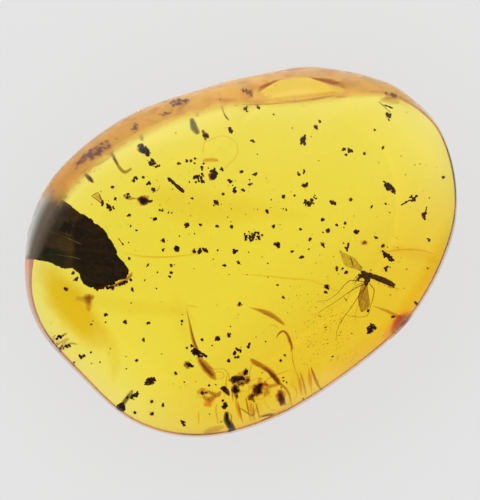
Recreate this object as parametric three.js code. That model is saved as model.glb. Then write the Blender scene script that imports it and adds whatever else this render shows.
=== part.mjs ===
// A polished piece of clear golden amber, lying on its flat back.
// From above it is a rounded lump with no two sides alike. A low dome covers the top and ends in a
// crease, a sloped edge runs down from there to the widest line, and the underside rounds in to the back.
import * as THREE from 'three';

// Heights above the flat back, in millimetres.
const crownHeight = 7.4;
const creaseHeight = 5.5;
const girthHeight = 2.4;

// How full the underside and the dome are: 2 is a plain ellipse, more is squarer.
const undersideFullness = 1.2;
const domeFullness = 2.3;

// How the sloped edge turns over: it rises as this power of the way in, so it starts upright.
const edgePower = 0.65;

// Steps of the surface along each stretch of the section, and round the outline.
const undersideSteps = 7;
const edgeSteps = 7;
const domeSteps = 9;
const aroundSteps = 120;

// The outline from above, anticlockwise from the left: x, y, width of the sloped edge above the
// widest line, and width of the rounded underside below it.
const outlinePoints = [
  [-15.4, -1.5, 0.7, 4.8],
  [-14.5, -5.2, 0.5, 4.6],
  [-11.6, -8.65, 0.4, 4.6],
  [-7.6, -12.1, 0.35, 4.6],
  [-2.8, -13.2, 0.35, 4.6],
  [2.4, -11.9, 0.35, 4.6],
  [7.6, -8.75, 0.35, 4.8],
  [12.2, -4.7, 0.35, 5.0],
  [14.95, 0.3, 0.4, 5.0],
  [15.5, 4.6, 0.3, 5.0],
  [14.3, 8.9, 0.35, 4.8],
  [11.7, 11.5, 0.75, 4.6],
  [9.6, 12.5, 1.6, 4.2],
  [7.3, 13.05, 2.4, 2.8],
  [4.6, 13.3, 2.6, 2.3],
  [1.3, 12.75, 2.0, 3.5],
  [-2.2, 11.9, 1.55, 5.0],
  [-7.8, 9.9, 1.6, 5.4],
  [-12.3, 6.6, 1.6, 5.4],
  [-14.8, 2.9, 1.5, 5.2],
];

// A closed curve through two columns of the outline: 0 and 1 are its places, 2 and 3 its widths.
function closedCurve(first, second) {
  const points = outlinePoints.map((row) => new THREE.Vector3(row[first], row[second], 0));
  return new THREE.CatmullRomCurve3(points, true, 'catmullrom', 0.5);
}

// One section from the middle of the back, round the widest line, to the crown.
// Each point is its distance from the middle and its height.
function sectionPoints(reach, edgeWidth, undersideWidth) {
  const points = [[0, 0]];
  for (let step = 0; step < undersideSteps; step += 1) {
    const turn = (step / undersideSteps) * (Math.PI / 2);
    const outward = Math.sin(turn) ** (2 / undersideFullness);
    const drop = Math.cos(turn) ** (2 / undersideFullness);
    points.push([reach - undersideWidth * (1 - outward), girthHeight * (1 - drop)]);
  }
  for (let step = 0; step < edgeSteps; step += 1) {
    const share = (step / edgeSteps) ** 2;
    const rise = share ** edgePower;
    points.push([reach - edgeWidth * share, girthHeight + (creaseHeight - girthHeight) * rise]);
  }
  for (let step = 0; step <= domeSteps; step += 1) {
    const outward = 1 - step / domeSteps;
    const rise = 1 - outward ** domeFullness;
    points.push([(reach - edgeWidth) * outward, creaseHeight + (crownHeight - creaseHeight) * rise]);
  }
  return points;
}

// A unit lathe gives the surface its grid, and every point of the grid moves to its own section.
function amberGeometry() {
  const outline = closedCurve(0, 1);
  const widths = closedCurve(2, 3);
  const grid = sectionPoints(1, 0, 0).map(([distance, height]) => new THREE.Vector2(distance, height));
  const geometry = new THREE.LatheGeometry(grid, aroundSteps);
  const position = geometry.attributes.position;
  for (let turn = 0; turn <= aroundSteps; turn += 1) {
    const around = (turn % aroundSteps) / aroundSteps;
    const rim = outline.getPoint(around);
    const width = widths.getPoint(around);
    const reach = rim.length();
    sectionPoints(reach, width.x, width.y).forEach(([distance, height], step) => {
      const share = distance / reach;
      position.setXYZ(turn * grid.length + step, rim.x * share, rim.y * share, height);
    });
  }
  geometry.computeBoundingBox();
  const middle = geometry.boundingBox.getCenter(new THREE.Vector3());
  geometry.translate(-middle.x, -middle.y, 0);
  geometry.computeVertexNormals();
  return geometry;
}

const amberMaterial = new THREE.MeshStandardMaterial({
  color: 0xe8cf48,
  roughness: 0.08,
  metalness: 0,
  transparent: true,
  opacity: 0.7,
});

const amber = new THREE.Mesh(amberGeometry(), amberMaterial);
amber.name = 'amber';

const group = new THREE.Group();
group.add(amber);

export default group;
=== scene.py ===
import math
import random

import bmesh
import bpy
import numpy as np
from mathutils import Matrix, Vector, noise
from mathutils.bvhtree import BVHTree


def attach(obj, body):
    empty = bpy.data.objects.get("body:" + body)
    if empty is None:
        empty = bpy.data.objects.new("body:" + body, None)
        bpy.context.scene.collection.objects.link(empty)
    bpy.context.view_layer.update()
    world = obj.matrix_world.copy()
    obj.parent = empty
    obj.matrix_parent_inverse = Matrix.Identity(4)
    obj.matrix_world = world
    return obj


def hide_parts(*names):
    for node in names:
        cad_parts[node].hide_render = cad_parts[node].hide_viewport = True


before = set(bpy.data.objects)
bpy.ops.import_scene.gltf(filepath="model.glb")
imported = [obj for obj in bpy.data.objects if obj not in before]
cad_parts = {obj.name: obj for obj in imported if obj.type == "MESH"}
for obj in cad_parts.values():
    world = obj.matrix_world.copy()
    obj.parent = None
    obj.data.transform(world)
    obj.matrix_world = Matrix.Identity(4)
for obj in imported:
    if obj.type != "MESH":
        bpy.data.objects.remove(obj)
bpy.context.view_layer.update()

mm = 0.001
turn = math.tau
noise.seed_set(7)       # without it noise_vector draws on the clock, and two runs differ


# Small helpers

def hexColour(code):
    # an sRGB hex code as a linear colour
    parts = [int(code[i:i + 2], 16) / 255 for i in (1, 3, 5)]
    return (*[c / 12.92 if c < 0.04045 else ((c + 0.055) / 1.055) ** 2.4 for c in parts], 1.0)


def addNode(tree, kind, settings=None, inputs=None, stops=()):
    # An input is a value, or a node or socket to link from. Stops are a ramp's places and colours.
    node = tree.nodes.new(kind)
    for name, value in (settings or {}).items():
        setattr(node, name, value)
    for socket, value in (inputs or {}).items():
        if isinstance(value, bpy.types.Node):
            value = value.outputs[0]
        if isinstance(value, bpy.types.NodeSocket):
            tree.links.new(value, node.inputs[socket])
        else:
            node.inputs[socket].default_value = value
    for place, _ in stops[1:-1]:
        node.color_ramp.elements.new(place)
    for number, (place, code) in enumerate(stops):
        element = node.color_ramp.elements[number]
        element.position, element.color = place, hexColour(code)
    return node


def newMaterial(name):
    material = bpy.data.materials.new(name)
    material.use_nodes = True
    material.node_tree.nodes.clear()
    return material, material.node_tree


def between(share, a, b, c, d):
    # the Catmull-Rom curve from b to c
    return b + 0.5 * share * (c - a + share * (2 * a - 5 * b + 4 * c - d + share * (3 * (b - c) + d - a)))


def openSpline(rows, steps):
    # through rows of any number of columns, ends doubled
    rows = np.array([rows[0], *rows, rows[-1]], float)
    spans = len(rows) - 3
    place = np.linspace(0, spans, steps)
    index = np.minimum(place.astype(int), spans - 1)
    return between((place - index)[:, None], *(rows[index + shift] for shift in range(4)))


def closedSpline(rows, steps):
    rows = np.array(rows, float)
    place = np.arange(steps) / steps * len(rows)
    index = place.astype(int)
    neighbours = (rows[(index + shift) % len(rows)] for shift in (-1, 0, 1, 2))
    return between((place - index)[:, None], *neighbours)


def smoothStep(value, low, high):
    share = min(1, max(0, (value - low) / (high - low)))
    return share * share * (3 - 2 * share)


def linkObject(name, data):
    piece = bpy.data.objects.new(name, data)
    bpy.context.scene.collection.objects.link(piece)
    return piece


def finishPiece(name, source, materials):
    mesh = bpy.data.meshes.new(name)
    source.to_mesh(mesh)
    source.free()
    for material in materials:
        mesh.materials.append(material)
    mesh.polygons.foreach_set("use_smooth", [True] * len(mesh.polygons))
    piece = linkObject(name, mesh)
    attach(piece, "root")


# The amber body

amberBody = {
    "crownHeight": 7.4,             # mm, all heights above the flat back
    "creaseHeight": 5.5,
    "girthHeight": 2.4,
    "undersideFullness": 1.2,       # 1 is a flat chamfer, 2 a plain ellipse
    "domeFullness": 2.3,
    "edgePower": 0.65,
    # x, y, width of the sloped edge, width of the rounded underside
    "outline": [
        (-15.4, -1.5, 0.7, 4.8),
        (-14.5, -5.2, 0.5, 4.6),
        (-11.6, -8.65, 0.4, 4.6),
        (-7.6, -12.1, 0.35, 4.6),
        (-2.8, -13.2, 0.35, 4.6),
        (2.4, -11.9, 0.35, 4.6),
        (7.6, -8.75, 0.35, 4.8),
        (12.2, -4.7, 0.35, 5.0),
        (14.95, 0.3, 0.4, 5.0),
        (15.5, 4.6, 0.3, 5.0),
        (14.3, 8.9, 0.35, 4.8),
        (11.7, 11.5, 0.75, 4.6),
        (9.6, 12.5, 1.6, 4.2),
        (7.3, 13.05, 2.4, 2.8),
        (4.6, 13.3, 2.6, 2.3),
        (1.3, 12.75, 2.0, 3.5),
        (-2.2, 11.9, 1.55, 5.0),
        (-7.8, 9.9, 1.6, 5.4),
        (-12.3, 6.6, 1.6, 5.4),
        (-14.8, 2.9, 1.5, 5.2),
    ],
    "aroundSteps": 480,
    "backSteps": 8,
    "undersideSteps": 24,
    "edgeSteps": 30,
    "domeSteps": 80,
    "waviness": 0.025,              # mm, hand polishing leaves the dome slightly uneven
    "wavePitch": 6.0,
    "waveFade": 12,                 # steps of the dome over which the waves set in
    # a gold line inside the lower right rim: degrees it starts and ends over, mm from the rim
    "goldStart": (-62, -45),
    "goldEnd": (-4, 12),
    "goldDepth": (1.3, 1.75),
    "ior": 1.54,
    "least": 0.25,                  # mm of amber over whatever is sealed in it
}


def sectionPoints(reach, edge, underside):
    # distance from the middle and height, from the back round the widest line to the crown
    body = amberBody
    girth, crease, crown = body["girthHeight"], body["creaseHeight"], body["crownHeight"]
    level = 0 * reach
    rows = [((reach - underside) * step / body["backSteps"], level) for step in range(body["backSteps"])]
    power = 2 / body["undersideFullness"]
    for step in range(body["undersideSteps"]):
        angle = step / body["undersideSteps"] * math.pi / 2
        rows.append((reach - underside * (1 - math.sin(angle) ** power),
                     level + girth * (1 - math.cos(angle) ** power)))
    for step in range(body["edgeSteps"]):
        share = (step / body["edgeSteps"]) ** 2
        rows.append((reach - edge * share, level + girth + (crease - girth) * share ** body["edgePower"]))
    for step in range(body["domeSteps"] + 1):
        outward = 1 - step / body["domeSteps"]
        rise = 1 - outward ** body["domeFullness"]
        rows.append(((reach - edge) * outward, level + crease + (crown - crease) * rise))
    return np.array(rows)


def makeAmberBody():
    body = amberBody
    rim = closedSpline(body["outline"], body["aroundSteps"])
    reach = np.hypot(rim[:, 0], rim[:, 1])
    rimAngles = np.degrees(np.arctan2(rim[:, 1], rim[:, 0]))
    section = sectionPoints(reach, rim[:, 2], rim[:, 3])
    points = np.empty((len(section), len(rim), 3))
    points[..., :2] = (rim[:, :2] / reach[:, None])[None] * section[:, 0][..., None]
    points[..., 2] = section[:, 1]
    middle = (points[..., :2].reshape(-1, 2).min(0) + points[..., :2].reshape(-1, 2).max(0)) / 2
    points[..., :2] -= middle
    stations, turns = len(section), len(rim)
    firstEdge = body["backSteps"] + body["undersideSteps"]
    firstDome = firstEdge + body["edgeSteps"]
    for station in range(firstDome + 1, stations):
        fade = smoothStep(station, firstDome, firstDome + body["waveFade"])
        for point in points[station]:
            wave = noise.noise(Vector((point[0], point[1], 3.7)) / body["wavePitch"])
            point[2] += body["waviness"] * fade * wave
    points[-1, :] = points[-1].mean(0)
    verts = [points[0, 0], *points[1:-1].reshape(-1, 3), points[-1, 0]]
    last = len(verts) - 1
    faces = []
    for here in range(turns):
        after = (here + 1) % turns
        faces.append((0, 1 + after, 1 + here))
        for station in range(stations - 3):
            low, high = 1 + station * turns, 1 + (station + 1) * turns
            faces.append((low + here, low + after, high + after, high + here))
        faces.append((last - turns + here, last - turns + after, last))
    mesh = bpy.data.meshes.new("amber_body")
    mesh.from_pydata([tuple(point * mm) for point in verts], [], faces)
    mesh.polygons.foreach_set("use_smooth", [True] * len(faces))
    for name, start, end in (("edgeSkin", firstEdge, firstDome), ("underside", 0, firstEdge)):
        values = [float(start <= station < end) for station in range(1, stations - 1) for _ in range(turns)]
        values = [float(start == 0), *values, 0.0]
        mesh.attributes.new(name, "FLOAT", "POINT").data.foreach_set("value", values)
    gold = []
    for x, y, _ in verts:
        x, y = x + middle[0], y + middle[1]
        angle = math.degrees(math.atan2(y, x))
        column = int(np.argmin(np.abs(np.remainder(rimAngles - angle + 180, 360) - 180)))
        inward = reach[column] - math.hypot(x, y)
        gold.append(smoothStep(angle, *body["goldStart"]) * (1 - smoothStep(angle, *body["goldEnd"]))
                    * (1 - smoothStep(inward, *body["goldDepth"])))
    mesh.attributes.new("rimGold", "FLOAT", "POINT").data.foreach_set("value", gold)
    mesh.update()
    return linkObject("amber_body", mesh), Vector((*middle, 0))


amberPiece, middle = makeAmberBody()
amberTree = BVHTree.FromPolygons([v.co for v in amberPiece.data.vertices],
                                 [p.vertices for p in amberPiece.data.polygons])
print("amber body made")


# The camera, straight above

viewpoint = {"lens": 200, "sensor": 36, "pictureHeight": 35.7, "aim": (0.0, 0.21), "sharpHeight": 3.0}


def makeCamera():
    camera = linkObject("camera", bpy.data.cameras.new("camera"))
    camera.data.lens = viewpoint["lens"]
    camera.data.sensor_width = viewpoint["sensor"]
    camera.data.clip_start = 0.005
    above = viewpoint["pictureHeight"] * viewpoint["lens"] / viewpoint["sensor"]
    x, y = viewpoint["aim"]
    camera.location = (Vector((x, y, viewpoint["sharpHeight"] + above)) - middle) * mm
    bpy.context.scene.camera = camera
    return camera


camera = makeCamera()


def sink(x, y, height):
    # The spot at this height that shows at x, y from above, once the surface has bent the line of sight.
    # Near the rim it stays under the surface. All in mm, the result in metres.
    eye = Vector(camera.location)
    target = (Vector((x, y, viewpoint["sharpHeight"])) - middle) * mm
    sight = (target - eye).normalized()
    place, normal, _, _ = amberTree.ray_cast(eye, sight)
    if place is None:
        return sink(x * 0.99, y * 0.99, height)
    ratio = 1 / amberBody["ior"]
    facing = -normal.dot(sight)
    bent = ratio * sight + (ratio * facing - math.sqrt(1 - ratio ** 2 * (1 - facing ** 2))) * normal
    level = min(height * mm, place.z - amberBody["least"] * mm)
    return place + bent * ((level - place.z) / bent.z)


# Shapes that several inclusions share

def addTube(mesh, points, radii, sides=8, material=0, flatten=1.0):
    # a closed tube along points, with its own radius at each
    count = len(points)
    rings = []
    side = None
    for i, point in enumerate(points):
        ahead = (points[min(i + 1, count - 1)] - points[max(i - 1, 0)]).normalized()
        if side is None:
            side = ahead.cross(Vector((0, 0, 1)))
            side = side.normalized() if side.length > 1e-3 else Vector((1, 0, 0))
        side = (side - ahead * side.dot(ahead)).normalized()
        up = side.cross(ahead)
        ring = []
        for k in range(sides):
            angle = turn * k / sides
            offset = side * math.cos(angle) + up * math.sin(angle) * flatten
            ring.append(mesh.verts.new(point + offset * radii[i]))
        rings.append(ring)
    corners = [(low[k], low[(k + 1) % sides], high[(k + 1) % sides], high[k])
               for low, high in zip(rings, rings[1:]) for k in range(sides)]
    ends = [mesh.verts.new(points[0]), mesh.verts.new(points[-1])]
    for k in range(0, sides, 2):
        first, second, last = k, (k + 1) % sides, (k + 2) % sides
        corners.append((ends[0], rings[0][last], rings[0][second], rings[0][first]))
        corners.append((ends[1], rings[-1][first], rings[-1][second], rings[-1][last]))
    addOutward(mesh, corners, material)
    return rings


def addSheet(mesh, upper, lower, material=0):
    # closes two grids of the same size into one thin body, faces outward
    tall, wide = len(upper), len(upper[0])
    corners = []
    for i in range(tall - 1):
        for k in range(wide - 1):
            for grid, way in ((upper, 1), (lower, -1)):
                corners.append((grid[i][k], grid[i][k + 1], grid[i + 1][k + 1], grid[i + 1][k])[::way])
        for k, way in ((0, 1), (wide - 1, -1)):
            corners.append((upper[i][k], upper[i + 1][k], lower[i + 1][k], lower[i][k])[::way])
    for i, way in ((0, -1), (tall - 1, 1)):
        for k in range(wide - 1):
            corners.append((upper[i][k], upper[i][k + 1], lower[i][k + 1], lower[i][k])[::way])
    addOutward(mesh, corners, material)


def addOutward(mesh, corners, material):
    # makes the faces of one closed body, turned over together if they would face inward
    volume = 0.0
    base = corners[0][0].co
    for face in corners:
        a, b, c, d = (vert.co - base for vert in face)
        volume += a.dot(b.cross(c)) + a.dot(c.cross(d))
    way = 1 if volume > 0 else -1
    for face in corners:
        mesh.faces.new(face[::way]).material_index = material


thinnest = 0.004        # mm, radius of the finest hair


def addPath(mesh, rows, height, steps, sides=6, material=0):
    # rows are x, y, radius and an optional lift, seen from above at this height
    rows = [(*row, 0.0) if len(row) == 3 else row for row in rows]
    line = openSpline(rows, steps)
    points = [sink(x, y, height + lift) for x, y, _, lift in line]
    addTube(mesh, points, [max(radius, thinnest) * mm for radius in line[:, 2]], sides, material)


def addLump(mesh, centre, size, seed, rough=0.35, subdivisions=2, material=0, spin=0.0, pitch=1.1):
    # an irregular grain: a small ball, stretched, then pushed in and out by noise
    made = bmesh.ops.create_icosphere(mesh, subdivisions=subdivisions, radius=0.5)
    rotation = Matrix.Rotation(spin, 3, "Z")
    for vert in made["verts"]:
        push = noise.noise(vert.co * 2 * pitch + Vector((seed * 7.3, seed * 1.9, seed * 4.1)))
        fine = noise.noise(vert.co * 5 * pitch + Vector((seed * 2.3, seed * 5.9, seed)))
        co = vert.co * (1 + rough * 1.7 * push + rough * 0.8 * fine)
        co = rotation @ Vector((co.x * size[0], co.y * size[1], co.z * size[2]))
        vert.co = centre + co * mm
    for face in {f for vert in made["verts"] for f in vert.link_faces}:
        face.material_index = material


# Materials of the inclusions

def plantMaterial():
    # Carbonised plant tissue, compressed in resin: nearly black brown and matt, with fine fibres,
    # and a grey milky film over the end that meets the polished surface, lighter in part as a painted
    # reflection of the curved rim above it.
    material, tree = newMaterial("carbonised_plant_tissue")
    place = addNode(tree, "ShaderNodeTexCoord").outputs["Object"]
    along = addNode(tree, "ShaderNodeMapping", {"vector_type": "POINT"},
                    {"Vector": place, "Rotation": (0, 0, math.radians(32)), "Scale": (350, 2600, 900)})
    fibre = addNode(tree, "ShaderNodeTexNoise", {},
                    {"Vector": along, "Scale": 1.0, "Detail": 5.0, "Roughness": 0.62})
    blotch = addNode(tree, "ShaderNodeTexNoise", {}, {"Vector": place, "Scale": 700.0, "Detail": 3.0})
    colour = addNode(tree, "ShaderNodeValToRGB", {}, {"Fac": fibre}, [(0.35, "#1a0d04"), (0.72, "#38240f")])
    # lighter tones of the film, partly a painted reflection of the curved rim above
    milkyAndReflection = addNode(tree, "ShaderNodeValToRGB", {}, {"Fac": fibre}, [(0.3, "#4a3a2c"), (0.75, "#74604e")])
    for zone, tone in (("filmAndReflection", milkyAndReflection), ("shade", hexColour("#2c3029")), ("bruise", hexColour("#211a26"))):
        share = addNode(tree, "ShaderNodeAttribute", {"attribute_name": zone}).outputs["Fac"]
        colour = addNode(tree, "ShaderNodeMix", {"data_type": "RGBA"},
                         {"Factor": share, 6: colour, 7: tone}).outputs[2]
    bump = addNode(tree, "ShaderNodeBump", {}, {"Height": fibre, "Strength": 0.5, "Distance": 0.00006})
    rough = addNode(tree, "ShaderNodeMapRange", {}, {"Value": blotch, "To Min": 0.5, "To Max": 0.85})
    shader = addNode(tree, "ShaderNodeBsdfPrincipled", {},
                     {"Base Color": colour, "Roughness": rough, "Normal": bump,
                      "IOR": 1.5, "Specular IOR Level": 0.15})
    addNode(tree, "ShaderNodeOutputMaterial", {}, {"Surface": shader})
    return material


def debrisMaterial(name, low, high, pitch):
    # Crumbs of wood, bark and frass: matt, dark, a little redder where they are thin.
    material, tree = newMaterial(name)
    place = addNode(tree, "ShaderNodeTexCoord").outputs["Object"]
    grain = addNode(tree, "ShaderNodeTexNoise", {},
                    {"Vector": place, "Scale": 1000 / pitch, "Detail": 4.0, "Roughness": 0.6})
    tone = addNode(tree, "ShaderNodeValToRGB", {}, {"Fac": grain}, [(0.38, low), (0.68, high)])
    shader = addNode(tree, "ShaderNodeBsdfPrincipled", {},
                     {"Base Color": tone, "Roughness": 0.7, "IOR": 1.5, "Specular IOR Level": 0.15})
    addNode(tree, "ShaderNodeOutputMaterial", {}, {"Surface": shader})
    return material


def chitinMaterial():
    # Sclerotised insect cuticle: very dark red brown, low sheen, mottled at about 0.1 mm.
    material, tree = newMaterial("insect_cuticle")
    place = addNode(tree, "ShaderNodeTexCoord").outputs["Object"]
    mottle = addNode(tree, "ShaderNodeTexNoise", {}, {"Vector": place, "Scale": 9000.0, "Detail": 3.0})
    tone = addNode(tree, "ShaderNodeValToRGB", {}, {"Fac": mottle}, [(0.35, "#24090a"), (0.75, "#7c3826")])
    bump = addNode(tree, "ShaderNodeBump", {}, {"Height": mottle, "Strength": 0.4, "Distance": 0.00002})
    shader = addNode(tree, "ShaderNodeBsdfPrincipled", {},
                     {"Base Color": tone, "Normal": bump, "Roughness": 0.4, "IOR": 1.56})
    addNode(tree, "ShaderNodeOutputMaterial", {}, {"Surface": shader})
    return material


def stainedResin(name, clear, depth):
    # A stain in the resin: light goes straight through it and takes on colour with the thickness,
    # so its edges fade and its thick parts are dark. clear is the share of light each colour keeps.
    material, tree = newMaterial(name)
    shader = addNode(tree, "ShaderNodeBsdfPrincipled", {},
                     {"Base Color": (1, 1, 1, 1), "Roughness": 0.0, "IOR": 1.0, "Transmission Weight": 1.0})
    stain = addNode(tree, "ShaderNodeVolumeAbsorption", {}, {"Color": (*clear, 1), "Density": depth})
    addNode(tree, "ShaderNodeOutputMaterial", {}, {"Surface": shader, "Volume": stain})
    return material


def tintedFilm(name, thin, thick, pitch):
    # A membrane thinner than a hair: no body of its own, it only tints what is behind it, in patches.
    material, tree = newMaterial(name)
    place = addNode(tree, "ShaderNodeTexCoord").outputs["Object"]
    grain = addNode(tree, "ShaderNodeTexNoise", {}, {"Vector": place, "Scale": 1000 / pitch, "Detail": 3.0})
    tone = addNode(tree, "ShaderNodeValToRGB", {}, {"Fac": grain}, [(0.35, thick), (0.7, thin)])
    shader = addNode(tree, "ShaderNodeBsdfPrincipled", {},
                     {"Base Color": tone, "Roughness": 0.0, "IOR": 1.0, "Transmission Weight": 1.0})
    addNode(tree, "ShaderNodeOutputMaterial", {}, {"Surface": shader})
    return material


# The dark plant flake at the left

plantFlake = {
    # the broken outline from the polished end, round the tip and back, in mm from above
    "outline": [
        (-12.7, 3.85), (-12.0, 3.4), (-11.3, 2.8), (-10.35, 2.3), (-10.15, 2.0), (-9.7, 1.8),
        (-9.3, 1.35), (-8.95, 0.85), (-8.65, 0.25), (-8.5, -0.2), (-8.1, -0.65), (-7.8, -1.05),
        (-7.7, -1.35), (-7.9, -1.7), (-8.35, -1.9), (-8.75, -2.15), (-9.25, -2.3), (-9.85, -2.45),
        (-10.4, -2.4), (-10.8, -2.2), (-11.1, -1.85), (-11.15, -1.5), (-11.4, -1.3), (-11.8, -1.15),
        (-12.3, -1.1), (-12.8, -0.9), (-13.3, -0.7), (-13.9, -0.6), (-14.4, -0.5), (-15.05, -0.4),
        (-15.2, 0.5), (-15.0, 1.7), (-14.6, 2.9), (-14.1, 3.9), (-13.45, 4.75),
    ],
    "heart": (-11.3, 0.55),
    "ends": (-15.2, -9.0),  # x of the polished end and of the tip
    "free": (-14.4, -13.2),  # x over which the outline turns ragged
    "endTop": 5.3,          # mm, top of the flake where it meets the polished surface
    "tipTop": 4.3,
    "endBottom": 2.4,
    "tipBottom": 3.5,
    "relief": 0.14,
    "rings": 46,
    "around": 260,
    "ragged": 0.07,
    "cover": 0.13,          # mm of amber over the polished end
}

rimTable = [(math.atan2(row[1], row[0]), math.hypot(row[0], row[1]), row[2])
            for row in closedSpline(amberBody["outline"], 720)]


def nearestRim(x, y):
    angle = math.atan2(y, x)
    return min(rimTable, key=lambda row: abs(math.remainder(row[0] - angle, turn)))


def insideDepth(x, y):
    # how far a spot lies inside the widest line, in mm
    return nearestRim(x, y)[1] - math.hypot(x, y)


def edgeHeight(x, y):
    # height of the sloped edge above a spot near the rim, in mm
    _, reach, width = nearestRim(x, y)
    inward = max(0.0, reach - math.hypot(x, y))
    rise = amberBody["creaseHeight"] - amberBody["girthHeight"]
    if inward >= width:
        return amberBody["creaseHeight"] + 0.5 * (inward - width) ** 0.8
    return amberBody["girthHeight"] + rise * (inward / width) ** amberBody["edgePower"]


def makePlantFlake():
    flake = plantFlake
    heart = Vector((*flake["heart"], 0))
    loop = closedSpline(flake["outline"], flake["around"])
    seed = Vector((4.2, 1.3, 0))
    mesh = bmesh.new()
    filmAndReflection = mesh.verts.layers.float.new("filmAndReflection")
    shade = mesh.verts.layers.float.new("shade")
    bruise = mesh.verts.layers.float.new("bruise")

    def addVert(spot, share, upper):
        lean = smoothStep(spot.x, *flake["ends"])
        top = flake["endTop"] + (flake["tipTop"] - flake["endTop"]) * lean
        top = min(top, edgeHeight(spot.x, spot.y) - flake["cover"])
        bottom = flake["endBottom"] + (flake["tipBottom"] - flake["endBottom"]) * lean
        half = max(0.05, (top - bottom) / 2)
        fullness = math.sqrt(max(0.0, 1 - share ** 5))
        bumps = noise.noise(Vector((spot.x * 0.9, spot.y * 1.6, 2.0)))
        ridges = noise.noise(Vector(((spot.x * 0.53 + spot.y * 0.85) * 4.5,
                                     (spot.x * 0.85 - spot.y * 0.53) * 0.7, 7.0)))
        relief = flake["relief"] * (bumps + 0.7 * ridges - 0.6) * fullness
        height = (top + bottom) / 2 + (half * fullness + relief) * (1 if upper else -1)
        vert = mesh.verts.new((Vector((spot.x, spot.y, height)) - middle) * mm)
        # the grey film, partly a painted reflection of the curved rim above, ends at a broken line across
        # the flake, darker and greener below
        tatter = noise.noise(spot * 1.6 + seed)
        border = -11.5 + 0.3 * (spot.y - 0.5) - 0.35 * math.sin((spot.y - 0.4) * 1.4) + 0.25 * tatter
        vert[filmAndReflection] = (1 - smoothStep(spot.x, border - 0.5, border + 0.15)) * (0.8 + 0.4 * tatter)
        lower = 0.45 + 0.27 * (-12.2 - spot.x)
        vert[shade] = (1 - smoothStep(spot.y, lower - 0.55, lower - 0.25)) * (
            1 - smoothStep(spot.x, -12.6, -11.4))
        # a dark bruise, longer than it is wide
        x, y = spot.x + 12.1, spot.y - 1.75
        patch = Vector((x * 0.82 + y * 0.45, y * 1.3 - x * 0.6, 0))
        vert[bruise] = 1 - smoothStep(patch.length + 0.4 * noise.noise(spot * 4), 0.4, 0.62)
        return vert

    sides = []
    for upper in (True, False):
        rows = [[addVert(heart, 0, upper)] * flake["around"]]
        for ring in range(1, flake["rings"] + (1 if upper else 0)):
            share = ring / flake["rings"]
            row = []
            for rim in loop:
                edge = Vector((rim[0], rim[1], 0))
                free = smoothStep(edge.x, *flake["free"])
                tatter = noise.noise(edge * 2.2 + seed) + 0.7 * noise.noise(edge * 7.5 + seed)
                edge += (edge - heart).normalized() * flake["ragged"] * tatter * 1.8 * free
                row.append(addVert(heart.lerp(edge, share), share, upper))
            rows.append(row)
        sides.append(rows)
    sides[1].append(sides[0][-1])
    for rows, way in zip(sides, (-1, 1)):
        for inner, outer in zip(rows, rows[1:]):
            for k in range(flake["around"]):
                after = (k + 1) % flake["around"]
                mesh.faces.new(list(dict.fromkeys([inner[k], outer[k], outer[after], inner[after]]))[::way])
    finishPiece("plant_flake", mesh, [plantMaterial()])


makePlantFlake()
print("plant flake made")


# Fibres and scratches on the flake

flakeFibres = {
    # pale strands that lie on the flake, x, y, radius in mm
    "strands": [
        [(-14.2, 1.75, 0.01), (-13.3, 1.45, 0.018), (-12.5, 1.15, 0.026), (-11.85, 0.85, 0.026),
            (-11.3, 0.6, 0.01)],
        [(-13.5, -0.05, 0.008), (-12.6, -0.2, 0.018), (-11.9, -0.3, 0.018), (-11.35, -0.45, 0.01)],
        [(-12.8, 1.5, 0.006), (-12.3, 1.3, 0.02), (-12.05, 1.2, 0.012)],
    ],
    # darker ones
    "threads": [
        [(-13.3, 2.65, 0.008), (-12.2, 2.2, 0.014), (-11.5, 1.9, 0.014), (-10.9, 1.75, 0.008)],
        [(-10.6, 1.6, 0.006), (-10.9, 1.3, 0.011), (-11.25, 1.1, 0.006)],
        [(-11.1, 0.2, 0.005), (-10.4, 0.15, 0.01), (-9.6, 0.2, 0.005)],
        [(-9.6, 0.3, 0.005), (-9.35, -0.3, 0.01), (-9.0, -0.65, 0.005)],
        [(-10.1, -0.65, 0.005), (-9.5, -0.4, 0.009), (-9.0, -0.6, 0.01), (-8.5, -1.1, 0.005)],
        [(-10.9, -0.5, 0.005), (-10.2, -1.1, 0.009), (-9.7, -1.75, 0.005)],
        [(-9.9, 1.0, 0.005), (-9.95, 0.4, 0.01), (-10.1, -0.1, 0.005)],
        [(-11.2, -1.6, 0.008), (-10.6, -2.0, 0.013), (-9.9, -2.15, 0.012), (-9.3, -2.2, 0.006)],
        [(-9.2, -2.3, 0.012), (-8.6, -2.15, 0.016), (-8.1, -1.9, 0.012), (-7.75, -1.6, 0.006)],
        [(-9.4, -2.45, 0.008), (-8.8, -2.3, 0.014), (-8.3, -2.15, 0.008)],
    ],
    "height": 5.5,
    "drop": 0.95,           # mm, the flake sinks this much towards its tip
    "hairs": 60,
    "seed": 11,
}


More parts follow.
